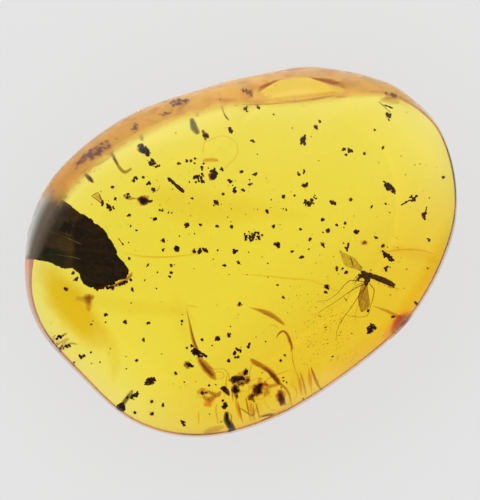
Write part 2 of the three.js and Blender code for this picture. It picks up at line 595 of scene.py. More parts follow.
def makeFlakeFibres():
    settings = flakeFibres
    pick = random.Random(settings["seed"])
    mesh = bmesh.new()

    def lay(rows, steps, sides, material):
        lifted = [(x, y, radius, -settings["drop"] * smoothStep(x, *plantFlake["ends"]))
                  for x, y, radius in rows]
        addPath(mesh, lifted, settings["height"], steps, sides, material)

    for strand in settings["strands"]:
        lay(strand, 24, 6, 0)
    for thread in settings["threads"]:
        lay(thread, 20, 6, 1)
    laid = 0
    while laid < settings["hairs"]:
        # hair-fine scratches at all angles over the dark part
        x, y = pick.uniform(-11.2, -8.2), pick.uniform(-2.2, 1.8)
        if y > -1.25 * (x + 8.3) - 0.5 or y < -0.8 * (x + 11.0) - 1.6:
            continue
        laid += 1
        angle = pick.gauss(math.radians(-35), 0.8)
        length, bend = pick.uniform(0.15, 0.7), pick.uniform(-0.1, 0.1)
        ahead = Vector((math.cos(angle), math.sin(angle)))
        rows = []
        for share in (-0.5, 0.0, 0.5):
            side = bend * (1 - 4 * share * share)
            rows.append((x + ahead.x * length * share - ahead.y * side,
                         y + ahead.y * length * share + ahead.x * side, 0.004))
        lay(rows, 7, 4, 1)
    materials = [debrisMaterial("pale_plant_fibre", "#6b5a34", "#b3a066", 0.3),
                 debrisMaterial("dull_plant_fibre", "#3d2c16", "#6e5830", 0.3)]
    finishPiece("flake_fibres", mesh, materials)


makeFlakeFibres()
print("flake fibres made")


# The gnat

gnat = {
    "height": 4.7,              # mm above the back, at the thorax
    "lumps": [
        # x, y, lift, length, width, depth: thorax first, then head and mouth parts
        (8.98, -1.62, 0.1, 0.6, 0.5, 0.5), (8.82, -1.4, 0.16, 0.42, 0.28, 0.34),
        (9.06, -1.95, -0.05, 0.4, 0.5, 0.38), (9.3, -1.55, 0.08, 0.34, 0.3, 0.3),
        (9.0, -2.2, -0.15, 0.3, 0.3, 0.26), (8.6, -1.66, 0.0, 0.24, 0.34, 0.3),
        (8.46, -1.88, -0.05, 0.15, 0.26, 0.15),
    ],
    # the abdomen's line: x, y, radius, lift
    "abdomen": [(9.3, -1.6, 0.13, 0.1), (9.55, -1.7, 0.19, 0.1), (10.0, -1.86, 0.215, 0.06),
                (10.4, -2.02, 0.21, 0.02), (10.75, -2.2, 0.195, -0.03), (11.04, -2.36, 0.12, -0.06)],
    "segments": 8,
    # grains and bristle tufts off the tail: x, y, size
    "tail": [(10.95, -2.46, 0.14), (10.72, -2.46, 0.1), (11.14, -2.52, 0.09), (11.22, -2.64, 0.07),
             (11.04, -2.28, 0.14), (10.58, -2.42, 0.08), (11.32, -2.55, 0.05), (11.1, -2.7, 0.05)],
    "bristles": 70,
    # each leg: x, y, radius, lift, from the hip to the claw
    "legs": [
        [(8.85, -2.05, 0.035, -0.1), (8.4, -2.0, 0.036, 0.1), (7.85, -1.94, 0.026, 0.3),
            (7.4, -2.35, 0.024, 0.1), (6.9, -2.95, 0.018, -0.2), (6.2, -3.4, 0.015, -0.5),
            (5.45, -3.46, 0.011, -0.6)],
        [(8.95, -2.15, 0.035, -0.15), (8.35, -2.46, 0.03, 0.15), (7.7, -2.85, 0.025, 0.35),
            (7.1, -3.3, 0.02, 0.1), (6.25, -3.85, 0.016, -0.3), (5.7, -4.2, 0.013, -0.55),
            (5.5, -4.5, 0.009, -0.6)],
        [(9.15, -2.2, 0.036, -0.15), (8.75, -2.7, 0.032, 0.1), (8.45, -3.1, 0.027, 0.3),
            (7.9, -3.95, 0.023, 0.1), (7.4, -4.6, 0.02, -0.2), (7.05, -5.2, 0.017, -0.4),
            (6.9, -5.6, 0.014, -0.5), (6.88, -6.25, 0.009, -0.6)],
        [(9.25, -2.2, 0.04, -0.1), (9.6, -2.65, 0.034, 0.2), (9.45, -3.4, 0.028, 0.3),
            (9.3, -3.85, 0.024, 0.1), (9.1, -4.5, 0.02, -0.2), (8.55, -4.58, 0.016, -0.4),
            (7.75, -4.5, 0.013, -0.5), (7.3, -4.25, 0.009, -0.6)],
        [(9.05, -2.15, 0.028, -0.3), (8.8, -2.8, 0.024, -0.5), (8.55, -3.5, 0.019, -0.8),
            (8.3, -4.1, 0.013, -1.0), (8.2, -4.8, 0.009, -1.1)],
        [(8.9, -2.1, 0.028, -0.3), (8.3, -2.3, 0.018, -0.6), (7.9, -2.75, 0.012, -0.9),
            (7.6, -3.4, 0.009, -1.1), (7.5, -3.8, 0.007, -1.2)],
    ],
    "antennae": [
        [(8.46, -1.72, 0.03, 0.02), (8.32, -1.9, 0.03, 0.05), (8.24, -2.08, 0.022, 0.05),
            (8.2, -2.25, 0.012, 0.0)],
        [(8.48, -1.6, 0.024, 0.05), (8.3, -1.72, 0.02, 0.12), (8.12, -1.95, 0.014, 0.15),
            (8.05, -2.2, 0.008, 0.1)],
    ],
    # wings: two edges from the root to the tip, x, y, and how they rise
    "wings": [
        {
            "front": [(8.75, -1.05), (8.45, -0.75), (8.28, -0.48), (8.0, -0.26), (7.65, -0.1),
                      (7.3, 0.08), (7.1, 0.2)],
            "rear": [(8.65, -1.3), (8.3, -1.15), (7.9, -1.05), (7.55, -0.93), (7.35, -0.65),
                      (7.24, -0.25), (7.08, 0.16)],
            "lift": [0.15, 0.3, 0.42, 0.5, 0.55, 0.6, 0.62],
            "crease": [(8.1, -1.0, 0.03, 0.4), (8.02, -0.7, 0.055, 0.47), (7.93, -0.45, 0.05, 0.5),
                       (7.88, -0.2, 0.02, 0.5)],
        },
        {
            "front": [(8.72, -2.2), (8.58, -2.6), (8.46, -3.05), (8.44, -3.35), (8.5, -3.7),
                      (8.58, -4.0), (8.64, -4.2)],
            "rear": [(9.08, -2.25), (9.14, -2.7), (9.2, -3.1), (9.26, -3.5), (9.22, -3.85),
                      (8.98, -4.08), (8.7, -4.22)],
            "lift": [-0.15, -0.2, -0.22, -0.24, -0.25, -0.25, -0.26],
            "crease": [(8.62, -2.4, 0.02, -0.2), (8.47, -3.1, 0.028, -0.2), (8.5, -3.6, 0.03, -0.2),
                       (8.63, -4.15, 0.02, -0.22)],
        },
    ],
    "veins": 6,
    # where the bristles stand: x, y, radius
    "bristleRoots": [(9.0, -1.7, 0.33), (9.55, -1.72, 0.22), (10.0, -1.9, 0.23), (10.4, -2.07, 0.22),
                     (10.8, -2.25, 0.16), (8.7, -1.5, 0.25)],
    "seed": 5,
}


def makeGnatBody():
    settings = gnat
    mesh = bmesh.new()
    high, seed = settings["height"], settings["seed"]
    pick = random.Random(seed)
    for x, y, lift, length, width, depth in settings["lumps"]:
        seed += 1
        addLump(mesh, sink(x, y, high + lift), (length, width, depth), seed, rough=0.2, subdivisions=3,
                spin=math.radians(-20))
    line = openSpline(settings["abdomen"], settings["segments"] * 8 + 1)
    points, radii = [], []
    for i, (x, y, radius, lift) in enumerate(line):
        phase = (i % 8) / 8
        ring = 1.0 - 0.16 * math.exp(-((phase - 0.06) / 0.1) ** 2) - 0.05 * phase
        points.append(sink(x, y, high + lift))
        radii.append(radius * ring * mm)
    for ring in addTube(mesh, points, radii, sides=20, flatten=0.85):
        for vert in ring:
            vert.co += Vector(noise.noise_vector(vert.co * 4500)) * 0.00003
    for x, y, size in settings["tail"]:
        seed += 1
        addLump(mesh, sink(x, y, high - 0.1), (size, size * 0.7, size * 0.7), seed, rough=0.5)
    # an eye, and the small knob behind the wing
    addLump(mesh, sink(8.5, -1.58, high + 0.08), (0.16, 0.2, 0.18), seed + 9, rough=0.04, subdivisions=3)
    addPath(mesh, [(9.2, -1.42, 0.012, 0.15), (9.3, -1.3, 0.012, 0.2), (9.36, -1.2, 0.035, 0.22),
                   (9.38, -1.16, 0.02, 0.22)], high, 8)
    for _ in range(settings["bristles"]):
        # short hairs all over the back and the belly
        root = pick.choice(settings["bristleRoots"])
        angle = pick.uniform(0, turn)
        ahead = Vector((math.cos(angle), math.sin(angle)))
        start = Vector(root[:2]) + ahead * root[2]
        end = start + ahead * pick.uniform(0.05, 0.16) + Vector((0.05, -0.03))
        addPath(mesh, [(*start, 0.01, 0.05), (*end, 0.003, 0.08)], high, 4, sides=4)
    finishPiece("gnat_body", mesh, [chitinMaterial()])


def makeGnatLegs():
    settings = gnat
    mesh = bmesh.new()
    for leg in settings["legs"]:
        # knees and foot joints are a little thicker than the shins between them
        rows = np.array(leg)
        steps = np.linspace(0, len(leg) - 1, 12 * len(leg))
        line = np.array([np.interp(steps, range(len(leg)), column) for column in rows.T]).T
        line[1:-1] = (line[:-2] + line[1:-1] + line[2:]) / 3
        points = [sink(x, y, settings["height"] + lift) for x, y, _, lift in line]
        radii = [radius * (0.68 + 0.2 * math.exp(-((step - round(step)) / 0.1) ** 2)) * mm
                 for step, radius in zip(steps, line[:, 2])]
        addTube(mesh, points, radii, sides=8)
    for feeler in settings["antennae"]:
        line = openSpline(feeler, 40)
        points = [sink(x, y, settings["height"] + lift) for x, y, _, lift in line]
        addTube(mesh, points, [radius * (1 + 0.25 * math.cos(i * 1.6)) * mm
                               for i, radius in enumerate(line[:, 2])], sides=8)
    addLump(mesh, sink(9.16, -4.12, settings["height"] - 0.3), (0.2, 0.26, 0.16), 91, rough=0.4)
    material = debrisMaterial("leg_cuticle", "#351808", "#663c14", 0.15)
    finishPiece("gnat_legs", mesh, [material])


def makeGnatWings():
    settings = gnat
    high = settings["height"]
    membrane, veins = bmesh.new(), bmesh.new()
    for wing in settings["wings"]:
        steps, across = 40, 14
        front, rear = openSpline(wing["front"], steps), openSpline(wing["rear"], steps)
        lifts = openSpline([(lift,) for lift in wing["lift"]], steps)[:, 0]
        layers = []
        for side in (0.006, -0.006):
            grid = []
            for i in range(steps):
                row = []
                for k in range(across + 1):
                    x, y = front[i] + (rear[i] - front[i]) * k / across
                    fold = 0.05 * math.sin(k / across * math.pi * 3) * (i / steps)
                    row.append(membrane.verts.new(sink(x, y, high + lifts[i] + fold + side)))
                grid.append(row)
            layers.append(grid)
        addSheet(membrane, *layers, material=settings["wings"].index(wing))
        for vein in range(settings["veins"] + 1):
            rows = []
            for i in range(0, steps, 3):
                spread = (vein / settings["veins"]) ** (1.4 - 0.6 * i / steps)
                x, y = front[i] + (rear[i] - front[i]) * spread
                width = 0.022 if vein in (0, settings["veins"]) else 0.018
                rows.append((x, y, width * (1 - 0.5 * i / steps), lifts[i] + 0.03))
            addPath(veins, rows, high, 40)
        addPath(veins, wing["crease"], high + 0.03, 24)
    films = [tintedFilm("clear_wing_membrane", "#ece2d6", "#d2c0b2", 0.25),
             tintedFilm("folded_wing_membrane", "#d8c2b8", "#b89a90", 0.25)]
    finishPiece("gnat_wings", membrane, films)
    finishPiece("gnat_wing_veins", veins, [stainedResin("wing_vein", (0.4, 0.2, 0.1), 26000)])


makeGnatBody()
makeGnatLegs()
makeGnatWings()
print("gnat made")


# Crumbs of wood and bark: the spots are listed, and Geometry Nodes grow the grains on them

crumbs = {
    # x, y, size in mm
    "single": [
        (-2.4, 8.4, 0.43), (-0.6, 8.7, 0.29), (-6.1, 6.4, 0.29), (-5.9, 6.2, 0.29), (-9.4, 3.3, 0.43),
        (-8.9, 3.9, 0.29), (-9.1, 4.7, 0.29), (-6.9, 3.7, 0.3), (-6.9, 5.4, 0.29), (-6.5, 5, 0.36),
        (-6.2, 4.5, 0.36), (-3.5, 6.6, 0.29), (-3.8, 6.55, 0.29), (-3.2, 6.75, 0.26), (-4.4, 6.4, 0.29),
        (-1.95, 5.5, 0.68), (-1.9, 5.85, 0.4), (-2.7, 6.1, 0.29), (-2.6, 6.4, 0.21), (-0.7, 5.1, 0.36),
        (-1.7, 3.6, 0.43), (-1.2, 4.2, 0.29), (-0.4, 4.4, 0.36), (-3.4, 3.9, 0.21), (-3.8, 2, 0.43),
        (-2.8, 2, 0.29), (-1.6, 1.9, 0.29), (-0.6, 1.9, 0.29), (-6.1, 2.4, 0.36), (-7.9, 2.7, 0.29),
        (-7.4, 1.6, 0.21), (-5.5, 0.9, 0.36), (-4.5, 0.3, 0.5), (-5.5, 0.2, 0.29), (-3.3, 0.1, 0.36),
        (-2.9, 0.1, 0.4), (-2.5, 0.2, 0.4), (-1.6, 0.2, 0.21), (-0.4, 0.1, 0.43), (-7.9, -0.4, 0.29),
        (-6.6, -0.9, 0.24), (-4.9, -0.9, 0.29), (-4.9, -1.4, 0.27), (-5, -1.7, 0.27), (-5.9, -1.4, 0.18),
        (-1.1, -0.9, 0.29), (-0.1, -0.7, 0.29), (-11.9, -1.4, 0.29), (-11.7, -1.9, 0.36),
        (-12.4, -2.6, 0.36), (-7.7, -2.6, 0.29), (-10.2, -2.6, 0.29), (-9.1, -2.5, 0.36),
        (0.4, 10.3, 0.36), (0.5, 10.1, 0.22), (1.3, 10.4, 0.32), (2.4, 9.9, 0.21), (3.9, 10.8, 0.21),
        (4.5, 8.1, 0.58), (4.4, 7.85, 0.3), (4.65, 8.4, 0.2), (5.4, 9, 0.4), (5.7, 9.4, 0.27),
        (0.9, 8, 0.29), (7.4, 7.4, 0.29), (7.9, 7.3, 0.36), (7.6, 7, 0.25), (8.9, 7.1, 0.29),
        (10.2, 7.5, 0.29), (9.6, 8.8, 0.21), (0.1, 5.8, 0.36), (1.1, 5.6, 0.29), (0.7, 4.9, 0.29),
        (0.2, 4.5, 0.29), (4.2, 5.6, 0.29), (4.6, 5.8, 0.29), (4.6, 4.8, 0.4), (3.1, 4, 0.36),
        (3.9, 4.1, 0.21), (6.6, 3.6, 0.43), (7.9, 3.8, 0.36), (1.9, 3, 0.36), (5.9, 2.4, 0.36),
        (6.9, 2, 0.29), (7.5, 2.1, 0.29), (6.3, 1.6, 0.4), (8.3, 1.5, 0.45), (4.3, 1.7, 0.29),
        (2.4, 1.9, 0.36), (5.9, 0.6, 0.36), (5, 1, 0.29), (9.7, 1.1, 0.29), (10.2, 0.5, 0.36),
        (10.7, 4.65, 0.62), (10.45, 4.85, 0.5), (10.95, 4.4, 0.4), (13.1, 2.7, 0.45), (13.15, 2.5, 0.3),
        (14.5, 5.4, 0.3), (13.5, 0.9, 0.29), (9.4, 3.3, 0.21), (10.4, 3.5, 0.21), (10.4, -1.1, 0.36),
        (13.4, -1.1, 0.21), (2.7, 0.6, 0.5), (2.5, 0.65, 0.3), (4.4, -0.3, 0.36), (3.7, 0.1, 0.29),
        (6.9, -1.1, 0.3), (7.6, -1.4, 0.32), (7.3, -1.15, 0.18), (6.2, -2.4, 0.43), (6.1, -2.8, 0.27),
        (3.1, -3.2, 0.29), (2.7, -2.3, 0.21), (10.95, -4.55, 0.25), (12.6, -3.6, 0.29), (6.6, -7.4, 0.21),
        (-9.6, -4.4, 0.36), (-8.2, -4.9, 0.36), (-10.6, -5.1, 0.2), (-6.5, -5, 0.29), (-9.6, -4.95, 0.2),
        (-11.85, -7.8, 0.22), (-10.65, -7.1, 0.2), (-10.0, -7.8, 0.17), (-10.6, -7.9, 0.15),
        (-6.9, -6.2, 0.29), (-7.4, -7.7, 0.29), (-3.6, -8, 0.42), (-4.6, -8.6, 0.3), (-6.3, -10.6, 0.3),
        (-7.5, -11.4, 0.3), (-6.3, -11.5, 0.36), (-5.5, -10.9, 0.29), (-11.35, -7.45, 0.36),
        (-11.15, -7.35, 0.3), (-2.7, -6.2, 0.29), (-1.6, -6.1, 0.45), (-0.8, -5.9, 0.36),
        (-0.8, -7.7, 0.33), (0.6, -6.7, 0.3), (0.65, -6.55, 0.25), (-2.2, -9.45, 0.24),
        (-1.24, -10.55, 0.24), (-1.1, -10.75, 0.2), (-1.35, -12.05, 0.14), (3.2, -7.3, 0.25),
        (2.9, -7.7, 0.25), (3.1, -8.9, 0.2), (3.1, -9.15, 0.16), (3.33, -9.27, 0.17), (2.95, -9.6, 0.15),
        (1.0, -10.6, 0.17), (4.5, -10.4, 0.18), (-3.8, -6.8, 0.24), (-3.45, -6.65, 0.26),
        (7.4, 0.7, 0.16), (-0.05, -3.7, 0.36), (7.36, -1.09, 0.14), (7.57, -3.36, 0.14),
    ],
    # x, y, width, height and turn in degrees of a loose cluster, then how densely it is packed
    "clusters": [
        (-8, 4.05, 0.5, 0.35, 0, 1.0), (-2.95, 5.3, 0.9, 0.8, 0, 0.7), (0.9, 1.15, 1.4, 0.6, 10, 1.0),
        (0.5, 1.3, 0.5, 0.5, 0, 1.0), (4.9, 3.6, 0.8, 0.6, 0, 0.9), (5.3, 3.95, 0.6, 0.3, 20, 0.8),
        (12.4, 3.9, 0.7, 0.5, 20, 1.0), (9.35, -5.4, 0.85, 0.5, 42, 1.9),
        (-6.4, -9.2, 1.0, 0.55, 32, 1.7), (-7.5, -10.2, 0.7, 0.4, 48, 1.7),
        (-8.5, -11.05, 0.75, 0.5, 35, 2.2), (10.6, -0.3, 0.95, 0.34, -38, 1.3),
        (-6.4, 3.7, 0.3, 0.3, 0, 0.8), (-6.85, 7.35, 1.15, 0.5, -42, 2.4),
        (-6.25, 6.4, 0.75, 0.35, -50, 1.6), (-0.42, -7.1, 0.2, 0.35, 0, 1.6),
        (0.06, -7.05, 0.2, 0.35, 0, 1.6), (-0.2, -6.9, 0.5, 0.16, 0, 1.4),
        (-0.22, -7.45, 0.4, 0.2, 0, 1.6), (-0.2, -9.0, 1.1, 0.3, 8, 1.5),
        (-0.35, -9.0, 0.6, 0.45, 0, 1.6), (-0.3, -9.75, 0.4, 0.6, 5, 1.8), (0.5, -8.5, 0.3, 0.4, 0, 1.2),
        (-1.1, -9.75, 0.65, 0.24, -50, 2.4), (1.25, -9.75, 0.4, 0.5, -20, 0.9),
        (-8.2, -2.1, 1.0, 0.16, 24, 1.4), (-9.5, -2.5, 0.9, 0.14, -4, 1.4),
        (-1.05, -10.9, 0.4, 0.45, 0, 1.1), (10.6, 9.75, 0.4, 0.55, 30, 0.8),
        (7.7, 0.4, 0.22, 0.5, -15, 1.6), (-9.9, -2.45, 1.1, 0.22, 5, 1.2),
        (-8.5, -2.2, 0.9, 0.25, 20, 1.2), (-12.9, -6.0, 0.8, 0.18, 28, 1.7),
        (-7.6, 5.35, 0.4, 0.5, 0, 1.0), (-9.85, 3.6, 0.25, 0.3, -40, 1.5), (-1.3, 6.0, 0.2, 0.2, 0, 1.0),
        (-9.2, 3.25, 0.45, 0.35, 0, 1.2), (-12.6, -6.75, 1.0, 0.25, 15, 0.9),
        (-3.1, -7.2, 0.9, 0.3, -25, 2.0), (3.2, 3.1, 0.3, 0.2, 0, 1), (-4.1, -5.0, 0.2, 0.4, 10, 0.9),
        (-5.6, 3.1, 0.3, 0.2, 0, 0.9),
    ],
    "clusterPitch": 0.15,       # mm between the grains of a cluster
    "grainSize": 0.17,
    "halo": 1.0,                # stained resin round a crumb, as a share of its size
    "lowest": 1.6,
    "highest": 4.9,
    "ragged": 0.55,
    "seed": 23,
}


def crumbTree(name, ball, ragged, material):
    # points in, one ragged grain on each, sized by the point's own grainSize
    tree = bpy.data.node_groups.new(name, "GeometryNodeTree")
    face = tree.interface
    face.new_socket("Geometry", in_out="INPUT", socket_type="NodeSocketGeometry")
    face.new_socket("Raggedness", in_out="INPUT", socket_type="NodeSocketFloat").default_value = ragged
    face.new_socket("Seed", in_out="INPUT", socket_type="NodeSocketInt").default_value = 0
    face.new_socket("Geometry", in_out="OUTPUT", socket_type="NodeSocketGeometry")
    source = addNode(tree, "NodeGroupInput")
    size = addNode(tree, "GeometryNodeInputNamedAttribute", {"data_type": "FLOAT_VECTOR"},
                   {"Name": "grainSize"}).outputs["Attribute"]
    spin = addNode(tree, "FunctionNodeRandomValue", {"data_type": "FLOAT_VECTOR"},
                   {"Max": (turn, turn, turn), "Seed": source.outputs["Seed"]})
    if ball:
        grain = addNode(tree, "GeometryNodeMeshIcoSphere", {}, {"Radius": 0.5, "Subdivisions": 1})
    else:
        # a cube drawn halfway to a ball, so that a grain keeps some corners
        cube = addNode(tree, "GeometryNodeMeshCube", {},
                       {"Size": (0.8, 0.8, 0.8), "Vertices X": 3, "Vertices Y": 3, "Vertices Z": 3})
        corner = addNode(tree, "GeometryNodeInputPosition")
        outward = addNode(tree, "ShaderNodeVectorMath", {"operation": "NORMALIZE"}, {0: corner})
        onBall = addNode(tree, "ShaderNodeVectorMath", {"operation": "SCALE"}, {0: outward, "Scale": 0.5})
        halfway = addNode(tree, "ShaderNodeMix", {"data_type": "VECTOR"},
                          {"Factor": 0.65, 4: corner, 5: onBall}).outputs[1]
        grain = addNode(tree, "GeometryNodeSetPosition", {}, {"Geometry": cube, "Position": halfway})
    grains = addNode(tree, "GeometryNodeInstanceOnPoints", {},
                     {"Points": source.outputs["Geometry"], "Instance": grain, "Rotation": spin,
                      "Scale": size})
    real = addNode(tree, "GeometryNodeRealizeInstances", {}, {"Geometry": grains})
    rough = addNode(tree, "ShaderNodeTexNoise", {"noise_dimensions": "3D"},
                    {"Vector": addNode(tree, "GeometryNodeInputPosition"),
                     "Scale": 6500.0, "Detail": 3.0, "Roughness": 0.7})
    centred = addNode(tree, "ShaderNodeVectorMath", {"operation": "SUBTRACT"},
                      {0: rough.outputs["Color"], 1: (0.5, 0.5, 0.5)})
    length = addNode(tree, "ShaderNodeVectorMath", {"operation": "LENGTH"}, {0: size}).outputs["Value"]
    amount = addNode(tree, "ShaderNodeMath", {"operation": "MULTIPLY"},
                     {0: length, 1: source.outputs["Raggedness"]})
    push = addNode(tree, "ShaderNodeVectorMath", {"operation": "SCALE"}, {0: centred, "Scale": amount})
    moved = addNode(tree, "GeometryNodeSetPosition", {}, {"Geometry": real, "Offset": push})
    coloured = addNode(tree, "GeometryNodeSetMaterial", {}, {"Geometry": moved, "Material": material})
    addNode(tree, "NodeGroupOutput", {}, {0: coloured})
    return tree


def growGrains(name, points, sizes, tree, seed):
    cloud = bpy.data.meshes.new(name + "_points")
    cloud.from_pydata(points, [], [])
    flat = [value * mm for size in sizes for value in size]
    cloud.attributes.new("grainSize", "FLOAT_VECTOR", "POINT").data.foreach_set("vector", flat)
    holder = linkObject(name + "_points", cloud)
    modifier = holder.modifiers.new("grains", "NODES")
    modifier.node_group = tree
    for item in tree.interface.items_tree:
        if item.item_type == "SOCKET" and item.in_out == "INPUT" and item.name == "Seed":
            modifier[item.identifier] = seed
    bpy.context.view_layer.update()
    mesh = bpy.data.meshes.new_from_object(holder.evaluated_get(bpy.context.evaluated_depsgraph_get()))
    bpy.data.objects.remove(holder)
    mesh.name = name
    piece = linkObject(name, mesh)
    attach(piece, "root")


def makeCrumbs():
    settings = crumbs
    pick = random.Random(settings["seed"])
    points, sizes, halos = [], [], []
    for x, y, size in settings["single"]:
        height = pick.uniform(settings["lowest"], settings["highest"])
        # every crumb is a core with a few grains stuck along it
        grain = pick.uniform(0, turn)
        ahead = Vector((math.cos(grain), math.sin(grain)))
        points.append(sink(x, y, height))
        sizes.append((size * 0.84, size * 0.52, size * 0.52))
        halos.append((points[-1], size * settings["halo"]))
        for _ in range(2 if size < 0.25 else 3 if size < 0.4 else 5):
            along, across = size * pick.uniform(-0.48, 0.48), size * pick.uniform(-0.28, 0.28)
            points.append(sink(x + along * ahead.x - across * ahead.y, y + along * ahead.y + across * ahead.x,
                               height + pick.uniform(-0.1, 0.1)))
            width, stretch = size * pick.uniform(0.28, 0.55), pick.uniform(0.8, 1.5)
            sizes.append((width * stretch, width / stretch, width * 0.8))
    for x, y, width, depth, slant, packed in settings["clusters"]:
        height = pick.uniform(settings["lowest"] + 1.2, settings["highest"])
        along = Vector((math.cos(math.radians(slant)), math.sin(math.radians(slant))))
        for number in range(max(3, int(width * depth / settings["clusterPitch"] ** 2 * packed))):
            away, angle = pick.random() ** 0.7 / 2, pick.uniform(0, turn)
            u, v = away * width * math.cos(angle), away * depth * math.sin(angle)
            points.append(sink(x + u * along.x - v * along.y, y + u * along.y + v * along.x,
                               height + pick.uniform(-0.2, 0.2)))
            size = settings["grainSize"] * pick.uniform(0.45, 1.25)
            sizes.append((size * pick.uniform(0.8, 1.9), size, size * 0.8))
            if number % 2 == 0:
                halos.append((points[-1], size * settings["halo"] * 1.3))
    material = debrisMaterial("wood_crumb", "#220d04", "#6b3010", 0.25)
    tree = crumbTree("grow_crumbs", False, settings["ragged"], material)
    growGrains("wood_crumbs", points, sizes, tree, settings["seed"])
    # the resin round each crumb has drawn colour out of it
    material = stainedResin("crumb_stain", (0.55, 0.2, 0.03), 6500)
    tree = crumbTree("stain_crumbs", True, settings["ragged"], material)
    growGrains("crumb_stains", [point for point, _ in halos], [(size,) * 3 for _, size in halos], tree,
               settings["seed"] + 1)


makeCrumbs()
print("wood crumbs made")


# Dust and micro-bubbles, strewn at random

dust = {"count": 300, "largest": 0.13, "smallest": 0.045, "seed": 71}

microBubbles = {
    # x, y, spread x, spread y, how many
    "fields": [(5.9, -6.0, 1.7, 2.0, 150), (4.6, -3.0, 2.5, 1.2, 40), (8.2, -7.6, 1.6, 0.9, 30),
               (6.6, -4.6, 1.4, 0.5, 40)],
    "largest": 0.1,
    "smallest": 0.04,
    "seed": 72,
}


def makeDust():
    settings = dust
    pick = random.Random(settings["seed"])
    points, sizes = [], []
    while len(points) < settings["count"]:
        x, y = pick.uniform(-14.5, 14.5), pick.uniform(-12, 12)
        # more of it along the flow band from the upper left to the right
        band = math.exp(-((y - 3.2 + 0.12 * x) / 4.2) ** 2)
        if insideDepth(x, y) < 0.9 or pick.random() > 0.25 + 0.75 * band:
            continue
        size = settings["smallest"] + (settings["largest"] - settings["smallest"]) * pick.random() ** 2.5
        points.append(sink(x, y, pick.uniform(1.2, 5.0)))
        sizes.append((size * pick.uniform(0.8, 1.8), size, size))
    material = debrisMaterial("fine_dust", "#2a1408", "#5c3212", 0.2)
    tree = crumbTree("strew_dust", True, 0.3, material)
    growGrains("fine_dust", points, sizes, tree, settings["seed"])


def makeMicroBubbles():
    settings = microBubbles
    pick = random.Random(settings["seed"])
    points, sizes = [], []
    for x, y, wide, deep, count in settings["fields"]:
        for _ in range(count):
            px, py = pick.gauss(x, wide * 0.55), pick.gauss(y, deep * 0.55)
            if insideDepth(px, py) > 0.6:
                points.append(sink(px, py, pick.uniform(3.5, 5.2)))
                sizes.append([pick.uniform(settings["smallest"], settings["largest"])] * 3)
    # painted shade: brown absorbing balls stand for the dark look that light bending gives each tiny bubble
    material = stainedResin("bubble_painted_shade", (0.35, 0.2, 0.1), 22000)
    tree = crumbTree("blow_bubbles", True, 0.0, material)
    growGrains("micro_bubbles", points, sizes, tree, settings["seed"])


makeDust()
makeMicroBubbles()
print("dust and micro-bubbles made")


# Rods of bark and splinters

rods = {
    # x, y to x, y, thickness in mm
    "straight": [
        (-5.2, 5.4, -3.95, 4.3, 0.24), (-8.7, 1.05, -8.3, 0.55, 0.08), (10.3, 10.55, 10.9, 10.35, 0.12),
        (9.9, 10.85, 10.7, 10.05, 0.05), (-3.3, -6.85, -2.3, -7.45, 0.2), (-4.25, -11.9, -3.95, -12.35, 0.2),
        (11.5, 3.4, 12.2, 3.8, 0.12), (-4.1, -12.0, -3.85, -12.15, 0.1), (7.75, 0.75, 7.65, 0.1, 0.14),
        (10.1, 0.2, 11.0, -0.55, 0.18), (13.35, 3.3, 13.2, 2.75, 0.1), (-0.75, 9.0, -0.65, 8.55, 0.2),
    ],
    "seed": 40,
}


def makeRods():
    settings = rods
    pick = random.Random(settings["seed"])
    mesh = bmesh.new()
    for x0, y0, x1, y1, thickness in settings["straight"]:
        rows = []
        for step in range(13):
            share = step / 12
            swell = (0.72 + 0.45 * pick.random()) * (0.5 if step in (0, 12) else 1)
            side = thickness * 0.35 * (pick.random() - 0.5)
            rows.append((x0 + (x1 - x0) * share + side, y0 + (y1 - y0) * share - side,
                         thickness / 2 * swell, 0.0))
        addPath(mesh, rows, pick.uniform(2.5, 4.8), 26, sides=8)
    for vert in mesh.verts:
        vert.co += Vector(noise.noise_vector(vert.co * 9000)) * 0.00004
    material = debrisMaterial("bark_rod", "#220d04", "#6b3010", 0.25)
    finishPiece("bark_rods", mesh, [material])


makeRods()
print("rods made")


# Stains in the resin: wedges, arcs, arches, flow lines, clots, bruises

